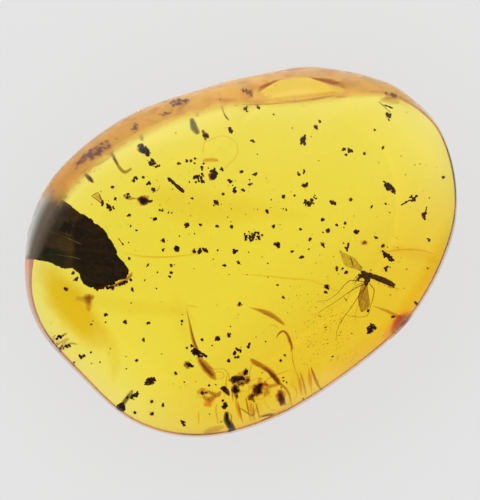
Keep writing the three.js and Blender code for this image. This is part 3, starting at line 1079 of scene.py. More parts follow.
stains = {
    # what light each stain keeps, and per metre how strongly
    "tones": {
        "rust": ((0.6, 0.22, 0.03), 9500),
        "umber": ((0.35, 0.08, 0.02), 12000),
        "gold": ((0.88, 0.66, 0.08), 7000),
        "haze": ((0.93, 0.84, 0.4), 1500),
        "bruise": ((0.6, 0.33, 0.36), 6500),
        "slate": ((0.3, 0.27, 0.3), 13000),
        "ember": ((0.88, 0.4, 0.06), 7000),
    },
    # ribbons: tone, height, greatest thickness, then x, y, width in mm along the middle line
    "ribbons": [
        ("rust", 4.4, 0.17, [(-3.86, -3.79, 0.05), (-3.68, -4.64, 0.12), (-3.5, -5.5, 0.22),
            (-3.32, -6.29, 0.3), (-3.11, -6.93, 0.38), (-2.93, -7.29, 0.21)]),
        ("umber", 4.2, 0.1, [(-3.79, -4.07, 0.04), (-3.54, -5.14, 0.07), (-3.29, -6.21, 0.12),
            (-3.0, -7.0, 0.14)]),
        ("rust", 4.1, 0.2, [(-3.07, -7.36, 0.21), (-2.79, -7.71, 0.52), (-2.5, -8.07, 0.66),
            (-2.21, -8.43, 0.66), (-1.93, -8.79, 0.52), (-1.68, -9.07, 0.14)]),
        ("umber", 3.9, 0.1, [(-2.93, -7.57, 0.07), (-2.64, -8.0, 0.25), (-2.29, -8.43, 0.3),
            (-1.93, -8.79, 0.2)]),
        ("gold", 4.4, 0.1, [(-3.86, -3.79, 0.1), (-3.43, -3.79, 0.16), (-2.93, -3.93, 0.06)]),
        ("umber", 4.2, 0.3, [(-1.39, -9.75, 0.21), (-1.18, -9.64, 0.34), (-0.96, -9.86, 0.34),
            (-0.76, -10.21, 0.18)]),
        ("umber", 4.0, 0.3, [(-1.3, -9.72, 0.16), (-1.12, -9.68, 0.28), (-0.95, -9.9, 0.28),
            (-0.8, -10.15, 0.12)]),
        ("rust", 4.0, 0.16, [(-2.36, -9.79, 0.14), (-1.93, -10.07, 0.4), (-1.57, -10.14, 0.4),
            (-1.36, -9.86, 0.21)]),
        ("rust", 3.8, 0.14, [(-2.64, -10.36, 0.21), (-2.14, -10.43, 0.46), (-1.71, -10.21, 0.3)]),
        ("ember", 3.8, 0.08, [(-2.6, -10.95, 0.3), (-2.2, -10.65, 0.7), (-1.85, -10.4, 0.3)]),
        ("rust", 4.1, 0.2, [(0.68, -7.54, 0.16), (0.93, -7.71, 0.38), (1.29, -7.93, 0.44),
            (1.71, -8.18, 0.44), (2.14, -8.46, 0.44), (2.43, -8.79, 0.48), (2.68, -9.14, 0.44),
            (2.89, -9.36, 0.26), (3.14, -9.57, 0.2), (3.43, -9.93, 0.18), (3.61, -10.43, 0.17),
            (3.68, -10.93, 0.14)]),
        ("umber", 3.9, 0.14, [(1.57, -8.14, 0.07), (2.0, -8.43, 0.21), (2.36, -8.79, 0.34),
            (2.68, -9.18, 0.3), (2.86, -9.36, 0.12)]),
        ("rust", 3.8, 0.1, [(1.86, -9.36, 0.14), (2.21, -9.5, 0.3), (2.57, -9.43, 0.3),
            (2.86, -9.36, 0.14)]),
        ("rust", 4.0, 0.16, [(0.64, -3.89, 0.07), (1.21, -4.04, 0.22), (1.86, -4.25, 0.4),
            (2.43, -4.57, 0.4), (2.93, -4.93, 0.3), (3.29, -5.21, 0.07)]),
        ("rust", 3.9, 0.08, [(1.57, -4.29, 0.07), (2.0, -4.43, 0.18), (2.43, -4.64, 0.14)]),
        ("rust", 4.3, 0.22, [(2.57, -6.11, 0.08), (2.79, -5.75, 0.16), (3.07, -5.57, 0.2),
            (3.36, -5.79, 0.22), (3.57, -6.29, 0.26), (3.71, -6.79, 0.2), (3.61, -7.07, 0.08)]),
        ("gold", 4.2, 0.3, [(-2.71, 6.54, 0.11), (-2.43, 6.62, 0.3), (-2.0, 6.64, 0.33),
            (-1.64, 6.6, 0.24), (-1.5, 6.54, 0.07)]),
        ("rust", 3.9, 0.12, [(4.29, -8.5, 0.09), (4.5, -9.14, 0.16), (4.64, -9.79, 0.13),
            (4.71, -10.29, 0.06)]),
        ("rust", 3.8, 0.18, [(5.07, -8.14, 0.12), (5.29, -8.79, 0.24), (5.57, -9.43, 0.24),
            (5.86, -9.79, 0.08)]),
        ("rust", 3.9, 0.06, [(-1.64, -10.79, 0.16), (-1.71, -11.21, 0.13), (-1.64, -11.71, 0.15),
            (-1.54, -12.21, 0.1)]),
        ("rust", 3.9, 0.05, [(-2.93, -11.36, 0.11), (-2.96, -11.79, 0.13), (-2.96, -12.21, 0.1)]),
        ("slate", 3.6, 0.3, [(-0.93, -11.3, 0.3), (-0.96, -11.71, 0.46), (-0.89, -12.0, 0.52),
            (-0.75, -12.29, 0.56), (-0.57, -12.5, 0.57), (-0.45, -12.65, 0.43)]),
        ("umber", 3.4, 0.2, [(-0.95, -11.4, 0.2), (-0.93, -11.8, 0.3), (-0.8, -12.2, 0.3),
            (-0.7, -12.45, 0.2)]),
        ("umber", 4.2, 0.1, [(-0.71, -11.43, 0.07), (-0.61, -11.71, 0.11), (-0.64, -12.07, 0.07)]),
        ("bruise", 3.0, 0.18, [(1.29, -11.7, 0.12), (1.64, -11.63, 0.24), (2.07, -11.55, 0.3),
            (2.57, -11.5, 0.26), (3.1, -11.28, 0.2), (3.6, -11.05, 0.12)]),
        ("slate", 3.0, 0.12, [(1.5, -11.68, 0.08), (2.0, -11.58, 0.14), (2.4, -11.55, 0.08)]),
        ("slate", 2.8, 0.08, [(0.43, -12.5, 0.07), (0.71, -12.44, 0.15), (1.14, -12.33, 0.12),
            (1.57, -12.14, 0.06)]),
        ("bruise", 2.8, 0.12, [(-2.64, -12.85, 0.21), (-2.21, -12.72, 0.5), (-1.79, -12.6, 0.57),
            (-1.36, -12.47, 0.36), (-1.0, -12.36, 0.14)]),
        # a brown thread and its orange haze that reach the crust at the right
        ("rust", 4.0, 0.1, [(9.4, -3.75, 0.06), (10.1, -4.0, 0.2), (10.8, -4.3, 0.3), (11.3, -4.55, 0.3),
            (11.6, -4.7, 0.1)]),
        ("ember", 3.6, 0.26, [(10.75, -5.75, 0.3), (11.15, -5.3, 0.8), (11.5, -4.85, 1.0),
            (11.8, -4.45, 0.5)]),
        # smears under the sloped edge and across the crease at the upper left
        ("umber", 4.3, 0.12, [(-9.04, 7.07, 0.18), (-8.93, 6.64, 0.21), (-8.64, 6.14, 0.25),
            (-8.32, 5.79, 0.3), (-8.04, 5.82, 0.25), (-7.75, 6.07, 0.2)]),
        ("slate", 4.3, 0.1, [(-9.2, 7.15, 0.2), (-8.95, 6.7, 0.3), (-8.7, 6.3, 0.15)]),
        ("slate", 4.3, 0.16, [(-11.61, 6.43, 0.3), (-11.36, 6.0, 0.14), (-11.0, 5.57, 0.32),
            (-10.71, 5.29, 0.36), (-10.43, 5.0, 0.14)]),
        ("umber", 4.1, 0.14, [(-11.05, 5.62, 0.14), (-10.75, 5.3, 0.28), (-10.5, 5.05, 0.14)]),
        ("slate", 4.3, 0.2, [(-3.46, 9.64, 0.3), (-3.39, 9.29, 0.5), (-3.21, 8.86, 0.57),
            (-2.93, 8.5, 0.3)]),
        ("umber", 4.3, 0.2, [(-2.68, 8.79, 0.21), (-2.54, 8.46, 0.3), (-2.46, 8.04, 0.21)]),
        ("slate", 4.5, 0.12, [(-1.5, 11.07, 0.14), (-1.39, 10.64, 0.15), (-1.21, 10.14, 0.11),
            (-1.0, 9.71, 0.16), (-0.75, 9.46, 0.08)]),
        ("umber", 4.4, 0.1, [(-1.1, 9.9, 0.08), (-0.95, 9.65, 0.14), (-0.78, 9.48, 0.06)]),
        ("bruise", 4.4, 0.12, [(-5.5, 9.82, 0.11), (-5.07, 9.93, 0.27), (-4.57, 10.04, 0.27),
            (-4.21, 10.11, 0.11)]),
        ("bruise", 4.3, 0.22, [(-10.8, 7.05, 0.2), (-10.2, 7.25, 0.6), (-9.7, 7.4, 0.85),
            (-9.3, 7.45, 0.6), (-9.15, 7.5, 0.2)]),
        ("bruise", 4.3, 0.1, [(-11.43, 7.0, 0.12), (-10.86, 7.29, 0.16), (-10.14, 7.46, 0.14),
            (-9.29, 7.86, 0.1)]),
        ("rust", 4.3, 0.1, [(-11.14, 6.0, 0.1), (-10.43, 6.21, 0.15), (-9.71, 6.57, 0.16),
            (-9.14, 7.0, 0.1)]),
        ("bruise", 4.4, 0.12, [(-7.6, 8.55, 0.3), (-7.5, 8.75, 0.3), (-7.4, 9.1, 0.14)]),
        ("slate", 4.3, 0.1, [(-7.1, 8.5, 0.2), (-7.05, 8.25, 0.35), (-6.95, 8.0, 0.2)]),
        ("slate", 4.3, 0.06, [(-4.71, 10.71, 0.09), (-4.14, 10.82, 0.2), (-3.43, 10.96, 0.09)]),
        ("bruise", 4.6, 0.16, [(0.1, 11.6, 0.14), (0.55, 11.45, 0.3), (1.1, 11.1, 0.34),
            (1.4, 10.8, 0.16)]),
        ("bruise", 4.4, 0.2, [(10.3, 11.0, 0.2), (10.8, 11.2, 0.5), (11.2, 11.15, 0.45),
            (11.5, 11.0, 0.2)]),
        ("rust", 4.4, 0.08, [(10.0, 10.95, 0.3), (10.8, 10.9, 0.6), (11.4, 10.7, 0.3)]),
        # brown rim lines round the clear lens at the top, and along the crease under it
        ("rust", 4.9, 0.06, [(1.1, 11.65, 0.06), (2.5, 12.35, 0.14), (3.6, 12.65, 0.12),
            (5.0, 12.75, 0.12), (6.4, 12.65, 0.14), (7.5, 12.35, 0.14), (8.6, 11.9, 0.12),
            (9.6, 11.65, 0.06)]),
        ("rust", 4.9, 0.14, [(0.0, 10.62, 0.08), (1.4, 10.6, 0.14), (2.9, 10.7, 0.14), (5.0, 10.93, 0.14),
            (6.4, 11.1, 0.16), (7.3, 11.25, 0.14), (7.8, 11.35, 0.05)]),
        ("gold", 4.7, 0.16, [(1.5, 10.75, 0.2), (3.2, 10.9, 0.5), (5.0, 11.15, 0.7), (6.6, 11.4, 0.5),
            (7.3, 11.45, 0.2)]),
        # the soft blob, the three sides of the small triangle, a curl and the flake's ragged fringe
        ("umber", 3.6, 0.3, [(-7.35, 3.85, 0.1), (-7.1, 3.85, 0.4), (-6.85, 3.72, 0.62), (-6.6, 3.7, 0.4),
            (-6.45, 3.72, 0.1)]),
        ("umber", 4.0, 0.1, [(-8.35, 4.15, 0.1), (-8.1, 3.95, 0.3), (-7.7, 3.9, 0.2), (-7.35, 3.9, 0.1)]),
        ("umber", 4.3, 0.14, [(-10.6, 4.05, 0.08), (-10.35, 4.2, 0.12), (-10.12, 4.32, 0.1)]),
        ("umber", 4.3, 0.14, [(-10.12, 4.32, 0.08), (-9.95, 3.95, 0.14), (-9.8, 3.5, 0.16)]),
        ("umber", 4.3, 0.14, [(-10.6, 4.05, 0.08), (-10.2, 3.8, 0.1), (-9.82, 3.5, 0.12)]),
        ("rust", 4.3, 0.1, [(-10.4, 4.05, 0.2), (-10.15, 4.0, 0.35), (-9.95, 3.75, 0.2)]),
        ("umber", 4.2, 0.1, [(-6.3, 4.5, 0.06), (-6.05, 4.42, 0.1), (-5.82, 4.55, 0.08),
            (-5.75, 4.85, 0.05)]),
        ("rust", 4.4, 0.16, [(-9.3, -2.42, 0.2), (-8.75, -2.25, 0.35), (-8.3, -2.0, 0.35),
            (-7.85, -1.65, 0.3), (-7.68, -1.35, 0.1)]),
        # a fuzzy brown patch and brown hooks at the lower left
        ("umber", 3.8, 0.05, [(-11.75, -3.25, 0.3), (-11.2, -3.3, 0.5), (-10.85, -3.35, 0.75),
            (-10.6, -3.3, 0.6)]),
        ("rust", 3.9, 0.09, [(-10.85, -3.1, 0.3), (-10.8, -3.5, 0.5), (-10.8, -3.95, 0.42),
            (-10.8, -4.2, 0.2)]),
        ("umber", 4.0, 0.1, [(-13.8, -6.2, 0.08), (-13.2, -6.15, 0.1), (-12.7, -5.9, 0.14),
            (-12.35, -5.75, 0.2)]),
        ("bruise", 3.9, 0.16, [(-13.6, -6.75, 0.1), (-13.2, -6.75, 0.2), (-12.9, -6.9, 0.2)]),
        ("umber", 3.9, 0.08, [(-12.85, -6.95, 0.2), (-12.4, -6.6, 0.22), (-12.0, -6.45, 0.18),
            (-11.6, -6.55, 0.12)]),
        ("slate", 3.0, 0.2, [(-8.75, -11.2, 0.3), (-8.45, -11.05, 0.5), (-8.2, -10.9, 0.3)]),
        # broad faint hazes that make the clear resin uneven
        ("haze", 3.0, 0.3, [(-0.4, -10.0, 0.9), (0.6, -10.6, 2.0), (1.4, -11.2, 1.4)]),
        ("haze", 3.0, 0.3, [(3.7, -8.2, 0.7), (4.3, -9.2, 1.9), (4.6, -10.1, 1.2)]),
        ("haze", 3.4, 0.26, [(-4.9, -2.9, 0.6), (-4.3, -4.1, 1.7), (-3.9, -5.6, 1.5), (-3.7, -6.6, 0.6)]),
        ("haze", 2.4, 0.4, [(-10.2, -4.9, 0.5), (-9.3, -6.1, 1.2), (-8.9, -7.9, 1.0), (-9.1, -9.4, 0.3)]),
        ("haze", 2.2, 0.4, [(-6.9, 4.7, 0.8), (-5.0, 3.7, 2.6), (-2.4, 3.2, 2.8), (1.6, 3.0, 1.6),
            (5.2, 2.5, 0.5)]),
        ("haze", 2.6, 0.3, [(-11.9, -2.6, 0.5), (-9.5, -3.6, 1.2), (-6.0, -4.0, 1.2), (-3.6, -4.2, 0.5)]),
        ("gold", 3.0, 0.05, [(9.6, 0.3, 0.3), (11.2, 0.2, 0.9), (12.8, -0.1, 1.2), (14.0, -0.6, 0.6)]),
    ],
    # thin lines: tone, x, y, radius in mm
    "lines": [
        ("rust", [(-2.36, -8.07, 0.03), (-1.79, -8.29, 0.04), (-1.21, -8.29, 0.04), (-0.89, -8.57, 0.045),
            (-0.75, -8.93, 0.05)]),
        ("rust", [(-1.86, -8.64, 0.03), (-1.64, -8.5, 0.035), (-1.29, -8.5, 0.035), (-1.14, -8.79, 0.04),
            (-1.43, -9.0, 0.03), (-1.79, -9.0, 0.02)]),
        ("umber", [(0.68, -8.86, 0.03), (0.71, -8.43, 0.035), (0.89, -7.86, 0.03)]),
        ("umber", [(1.71, -9.29, 0.02), (2.0, -9.0, 0.035), (2.57, -8.71, 0.035), (3.14, -8.5, 0.03),
            (3.57, -8.36, 0.02)]),
        ("rust", [(-0.57, -9.5, 0.07), (-0.54, -10.07, 0.08), (-0.5, -10.57, 0.04)]),
        ("rust", [(0.43, -10.36, 0.06), (0.57, -11.14, 0.08), (0.75, -11.93, 0.04)]),
        ("rust", [(1.14, -10.71, 0.05), (1.25, -11.21, 0.08), (1.39, -11.71, 0.05)]),
        ("rust", [(-0.14, -10.64, 0.04), (0.0, -11.36, 0.09), (0.21, -12.14, 0.04)]),
        ("rust", [(0.93, -10.79, 0.04), (1.0, -11.5, 0.07), (1.07, -12.07, 0.03)]),
        ("rust", [(3.64, -9.36, 0.03), (4.0, -9.71, 0.04), (4.04, -10.21, 0.04), (3.82, -10.5, 0.02)]),
        ("rust", [(3.71, -6.93, 0.03), (3.79, -7.79, 0.05), (4.07, -8.71, 0.03)]),
        ("gold", [(-0.3, -10.2, 0.05), (-0.2, -11.0, 0.14), (0.0, -11.9, 0.05)]),
        ("gold", [(0.75, -10.5, 0.05), (0.8, -11.2, 0.14), (0.95, -12.0, 0.05)]),
        ("gold", [(4.9, -8.2, 0.05), (5.0, -9.0, 0.16), (5.1, -9.9, 0.06)]),
        ("gold", [(4.1, -8.6, 0.05), (4.3, -9.4, 0.15), (4.4, -10.2, 0.06)]),
        ("gold", [(-0.9, -8.6, 0.04), (-1.0, -9.3, 0.1), (-0.95, -9.9, 0.04)]),
        ("umber", [(2.07, -5.21, 0.02), (2.29, -5.14, 0.03), (2.57, -5.21, 0.03), (2.71, -5.43, 0.02)]),
        ("gold", [(-2.7, 7.0, 0.04), (-2.64, 7.36, 0.06), (-2.57, 7.86, 0.06), (-2.29, 8.0, 0.06),
            (-1.86, 8.21, 0.055), (-1.29, 8.36, 0.05), (-0.71, 8.21, 0.05), (-0.29, 7.86, 0.05),
            (-0.14, 7.36, 0.055), (-0.29, 6.86, 0.05), (-0.71, 6.43, 0.05), (-1.14, 6.0, 0.05),
            (-1.5, 5.79, 0.03)]),
        ("gold", [(-8.5, 0.07, 0.03), (-6.93, -0.25, 0.07), (-5.21, -0.29, 0.075), (-3.57, -0.14, 0.065),
            (-2.36, 0.04, 0.03)]),
        ("gold", [(-0.14, -1.5, 0.03), (1.79, -1.64, 0.06), (3.93, -1.86, 0.06), (5.71, -1.96, 0.03)]),
        ("gold", [(9.57, -0.07, 0.03), (10.71, 0.14, 0.07), (12.07, 0.25, 0.08), (13.14, 0.14, 0.07),
            (13.86, -0.07, 0.03)]),
        ("gold", [(4.29, -1.79, 0.03), (5.57, -2.14, 0.05), (6.86, -2.71, 0.05), (7.43, -3.07, 0.03)]),
        ("rust", [(-1.1, 8.9, 0.02), (-0.9, 8.95, 0.04), (-0.7, 8.85, 0.02)]),
        ("umber", [(11.64, -5.2, 0.02), (11.9, -4.95, 0.035), (12.15, -4.68, 0.02)]),
    ],
    "lineHeight": 4.3,
    "ringHeight": 4.1,
    "ringSteps": 48,
    "clotHeight": 3.9,
    # clots: x, y, width, height, thickness, turn in degrees, tone
    "clots": [
        (-0.35, -9.1, 0.75, 0.55, 0.34, -15, "umber"), (0.05, -9.3, 0.65, 0.45, 0.3, 10, "umber"),
        (0.45, -9.15, 0.6, 0.36, 0.26, -5, "umber"), (0.1, -8.75, 0.7, 0.5, 0.14, 20, "rust"),
        (0.4, -8.5, 0.36, 0.45, 0.3, 0, "umber"), (0.55, -8.95, 0.4, 0.3, 0.16, 30, "rust"),
        (-0.3, -9.75, 0.5, 0.62, 0.34, 5, "umber"), (-0.25, -10.2, 0.22, 0.5, 0.25, 0, "umber"),
        (1.3, -9.75, 0.75, 0.9, 0.3, -20, "umber"), (1.4, -9.6, 0.95, 1.15, 0.2, -15, "rust"),
        (0.8, -10.3, 0.5, 0.45, 0.3, 15, "umber"), (1.75, -9.35, 0.45, 0.4, 0.3, 0, "ember"),
        (1.0, -10.0, 0.5, 0.4, 0.2, 40, "rust"), (1.9, -9.8, 0.6, 0.75, 0.1, 0, "rust"),
        (0.95, -9.5, 0.6, 0.3, 0.12, 40, "rust"), (2.93, -10.35, 0.7, 1.1, 0.3, 15, "rust"),
        (2.95, -10.42, 0.46, 0.85, 0.2, 15, "umber"), (-2.65, -10.0, 0.6, 0.55, 0.12, 0, "rust"),
        (-2.7, -10.0, 0.3, 0.3, 0.3, 0, "umber"), (-2.42, -9.98, 0.24, 0.2, 0.24, 0, "umber"),
        (-2.25, -10.75, 0.5, 0.5, 0.16, 0, "ember"), (-1.05, -10.05, 0.22, 0.16, 0.16, 0, "ember"),
        (-1.05, -10.9, 0.3, 0.45, 0.26, 0, "umber"), (0.9, -10.5, 0.18, 0.14, 0.2, 0, "umber"),
        (8.86, 0.72, 0.5, 0.34, 0.2, 5, "ember"), (8.9, 0.75, 0.36, 0.24, 0.2, 5, "umber"),
        (-10.8, -3.2, 0.75, 0.6, 0.14, 10, "rust"), (-6.9, 3.78, 0.9, 0.64, 0.2, -5, "rust"),
        (-6.9, 3.72, 0.52, 0.42, 0.3, 0, "umber"), (10.95, -4.55, 0.34, 0.16, 0.26, 10, "umber"),
        (-3.75, -8.0, 0.5, 0.5, 0.2, 0, "umber"), (10.65, 9.8, 0.35, 0.5, 0.12, -30, "slate"),
        (-6.85, 7.35, 1.0, 0.5, 0.3, -42, "umber"), (-10.95, 6.3, 0.16, 0.16, 0.2, 0, "umber"),
        (-11.9, 5.8, 0.16, 0.2, 0.2, 0, "rust"), (-11.9, 5.4, 0.16, 0.2, 0.2, 0, "rust"),
        (-8.35, 7.85, 0.24, 0.18, 0.26, 0, "umber"), (-7.35, 9.1, 0.2, 0.2, 0.16, 0, "umber"),
        (-3.05, 9.85, 0.24, 0.36, 0.16, -30, "bruise"), (-4.15, 10.5, 0.25, 0.22, 0.2, 0, "slate"),
        (12.7, -3.65, 0.2, 0.3, 0.3, -50, "umber"), (-0.3, 12.0, 0.2, 0.1, 0.1, 0, "umber"),
    ],
    # rings: x, y, width, height, tube radius
    "rings": [(-2.65, -10.0, 0.78, 0.66, 0.035), (2.65, -10.3, 1.85, 1.95, 0.03),
              (1.3, -9.7, 1.35, 1.5, 0.03),
              (0.52, -8.95, 0.32, 0.3, 0.03), (0.3, -9.6, 0.7, 0.6, 0.03)],
    "across": 9,
    "steps": 40,
    "seed": 60,
}


def keepInside(place, cover):
    # pulls a place that has come too near the surface back into the stone
    near, normal, _, _ = amberTree.find_nearest(place)
    depth = (near - place).dot(normal)
    return place if depth > cover * mm else place - normal * (cover * mm - depth)


def addRibbon(mesh, rows, height, thickness, material):
    # a thin body that is thickest along its middle, with a slightly uneven outline
    line = openSpline(rows, stains["steps"])
    count, across = len(line), stains["across"]
    widest = max(row[2] for row in rows)
    spine = np.array([sink(x, y, height) for x, y, _ in line])
    for _ in range(3):
        spine[1:-1] = (spine[:-2] + 2 * spine[1:-1] + spine[2:]) / 4
    sides = []
    for side in (1, -1):
        grid = []
        for i, (x, y, width) in enumerate(line):
            ahead = Vector(spine[min(i + 1, count - 1)] - spine[max(i - 1, 0)])
            ahead.z = 0
            aside = Vector((-ahead.y, ahead.x, 0)).normalized()
            end = math.sqrt(max(0.0, 1 - (abs(2 * i / (count - 1) - 1)) ** 6))
            row = []
            for k in range(across):
                share = math.sin((k / (across - 1) - 0.5) * math.pi)
                wobble = 0.22 * noise.noise(Vector((x * 2.5, y * 2.5, share * 1.5 + height)))
                reach = max(width, 0.02) * (share + wobble) / 2 * mm
                swell = thickness / 2 * min(1, width / widest + 0.25) * (0.03 + (1 - share * share) * end)
                place = keepInside(Vector(spine[i]) + aside * reach, 0.06 + swell)
                row.append(mesh.verts.new(place + Vector((0, 0, swell * side * mm))))
            grid.append(row)
        sides.append(grid)
    addSheet(mesh, *sides, material)


def makeStains():
    settings = stains
    tones = list(settings["tones"])
    materials = [stainedResin("stain_" + name, clear, depth)
                 for name, (clear, depth) in settings["tones"].items()]
    mesh = bmesh.new()
    for tone, height, thickness, rows in settings["ribbons"]:
        addRibbon(mesh, rows, height, thickness, tones.index(tone))
    finishPiece("resin_stains", mesh, materials)
    mesh = bmesh.new()
    for tone, rows in settings["lines"]:
        addPath(mesh, rows, settings["lineHeight"], 60, material=tones.index(tone))
    for x, y, width, depth, radius in settings["rings"]:
        angles = [turn * step / settings["ringSteps"] for step in range(settings["ringSteps"] + 1)]
        points = [sink(x + width / 2 * math.cos(angle), y + depth / 2 * math.sin(angle),
                       settings["ringHeight"]) for angle in angles]
        addTube(mesh, points, [radius * mm] * len(points), sides=6, material=tones.index("rust"))
    finishPiece("flow_lines", mesh, materials)
    mesh = bmesh.new()
    for number, (x, y, width, depth, thickness, angle, tone) in enumerate(settings["clots"]):
        addLump(mesh, sink(x, y, settings["clotHeight"]), (width, depth, thickness),
                settings["seed"] + number, rough=0.4, subdivisions=4, material=tones.index(tone),
                spin=math.radians(angle), pitch=1.4)
    finishPiece("clots", mesh, materials)


makeStains()
print("stains made")


# Weathered skin on the sloped edge, from the far right corner round to the flake's smoky end

weatheredSkin = {
    # degrees round from the right where it starts and ends, how long it takes to fade in and out,
    # its strength, and how far up the edge it begins
    "spans": [(36, 182, 14, 1.5, 1.0, 0.0), (329, 341, 3.5, 3.5, 0.7, 0.3)],
    "gap": 0.015,                   # mm between it and the polished surface
    "thickness": 0.03,
    "across": 18,
    "overDome": 8,
    "spread": 0.75,                 # mm that it reaches in over the dome, fading out
    "cover": 0.68,                  # how much of what is behind it is hidden
    "through": 0.4,                 # how much of its light comes from below
    "lens": (4.4, 11.62, 3.05, 0.86, 2),    # a clear window: x, y, half width, half depth, turn
    "smokeStart": 160,              # degrees, smoky from here to the end
    "smokeEnd": 200,
    # purple-grey patches: x, y, half width, half depth, turn; the last, on the right crust, is a painted
    # highlight
    "bruisesAndHighlight": [(-10.1, 7.25, 1.25, 0.45, 32), (-11.3, 6.5, 0.2, 0.5, -35), (-4.3, 10.7, 0.9, 0.28, 8),
                (-7.4, 8.9, 0.2, 0.45, -20), (0.6, 11.35, 0.55, 0.22, -38), (-1.4, 11.0, 0.1, 0.35, 10),
                (10.7, 11.1, 0.6, 0.2, -25), (-5.1, 9.9, 0.5, 0.12, 12), (11.8, -5.05, 1.1, 0.4, 45)],
}


def inEllipse(spot, ellipse, soft):
    x, y, wide, deep, angle = ellipse
    away = Matrix.Rotation(math.radians(-angle), 2) @ Vector((spot.x - x, spot.y - y))
    return 1 - smoothStep(math.hypot(away.x / wide, away.y / deep), 1 - soft, 1 + soft)


def makeWeatheredSkin():
    mesh = bmesh.new()
    layers = {name: mesh.verts.layers.float.new(name) for name in ("cover", "inward", "smoke", "bruise")}
    for span in weatheredSkin["spans"]:
        addWeatheredSpan(mesh, layers, *span)
    finishPiece("weathered_skin_and_reflection", mesh, [skinAndReflectionMaterial()])


def addWeatheredSpan(mesh, layers, start, end, fadeIn, fadeOut, strength, low):
    settings = weatheredSkin
    body = amberBody
    rim = [row for row in closedSpline(body["outline"], 1440)
           if start < math.degrees(math.atan2(row[1], row[0])) % 360 < end]
    rise = body["creaseHeight"] - body["girthHeight"]
    sides = []
    for lift in (settings["gap"] + settings["thickness"], settings["gap"]):
        grid = []
        for x, y, width, _ in rim:
            reach = math.hypot(x, y)
            angle = math.degrees(math.atan2(y, x)) % 360
            row = []
            for k in range(settings["across"] + settings["overDome"] + 1):
                inward = min(1, 0.02 + k / settings["across"])
                past = max(0, k - settings["across"]) / settings["overDome"]
                share = inward ** 2
                away = reach - width * share + lift - past * settings["spread"]
                if past:
                    outward = 1 - past * settings["spread"] / (reach - width)
                    height = body["creaseHeight"] + (body["crownHeight"] - body["creaseHeight"]) * (
                        1 - outward ** body["domeFullness"])
                else:
                    height = body["girthHeight"] + rise * share ** body["edgePower"]
                spot = Vector((x * away / reach, y * away / reach, height + lift * (0.6 + 0.5 * inward)))
                vert = mesh.verts.new((spot - middle) * mm)
                ragged = noise.noise(spot * 1.4) + 0.5 * noise.noise(spot * 4)
                ends = smoothStep(angle, start, start + fadeIn) * (
                    1 - smoothStep(angle + 0.8 * ragged, end - fadeOut, end))
                smoke = smoothStep(angle + 3 * ragged, settings["smokeStart"], settings["smokeStart"] + 7) * (
                    angle < settings["smokeEnd"])
                foot = max(low, 0.06 * smoke)
                ends *= smoothStep(inward + 0.2 * ragged, foot, foot + 0.4) if foot else 1
                uneven = 1 + 0.45 * noise.noise(spot / 1.3) * (1 - smoke)
                fading = 1 - smoothStep(past + 0.12 * noise.noise(spot * 0.5), -0.25, 0.9)
                # the last of these patches, on the right crust, is a painted highlight rather than a bruise
                bruise = max(inEllipse(spot, patch, 0.45) for patch in settings["bruisesAndHighlight"])
                streaks = 0.9 * noise.noise(spot * 3.1) + 0.6 * noise.noise(spot * 7.7)
                vert[layers["cover"]] = (strength * ends * fading * min(1, uneven + smoke)
                                         * (1 - inEllipse(spot, settings["lens"], 0.06)))
                vert[layers["inward"]] = inward
                vert[layers["smoke"]] = smoke
                vert[layers["bruise"]] = smoothStep(bruise + streaks, 0.45, 1.0) if bruise > 0 else 0.0
                row.append(vert)
            grid.append(row)
        sides.append(grid)
    addSheet(mesh, *sides)


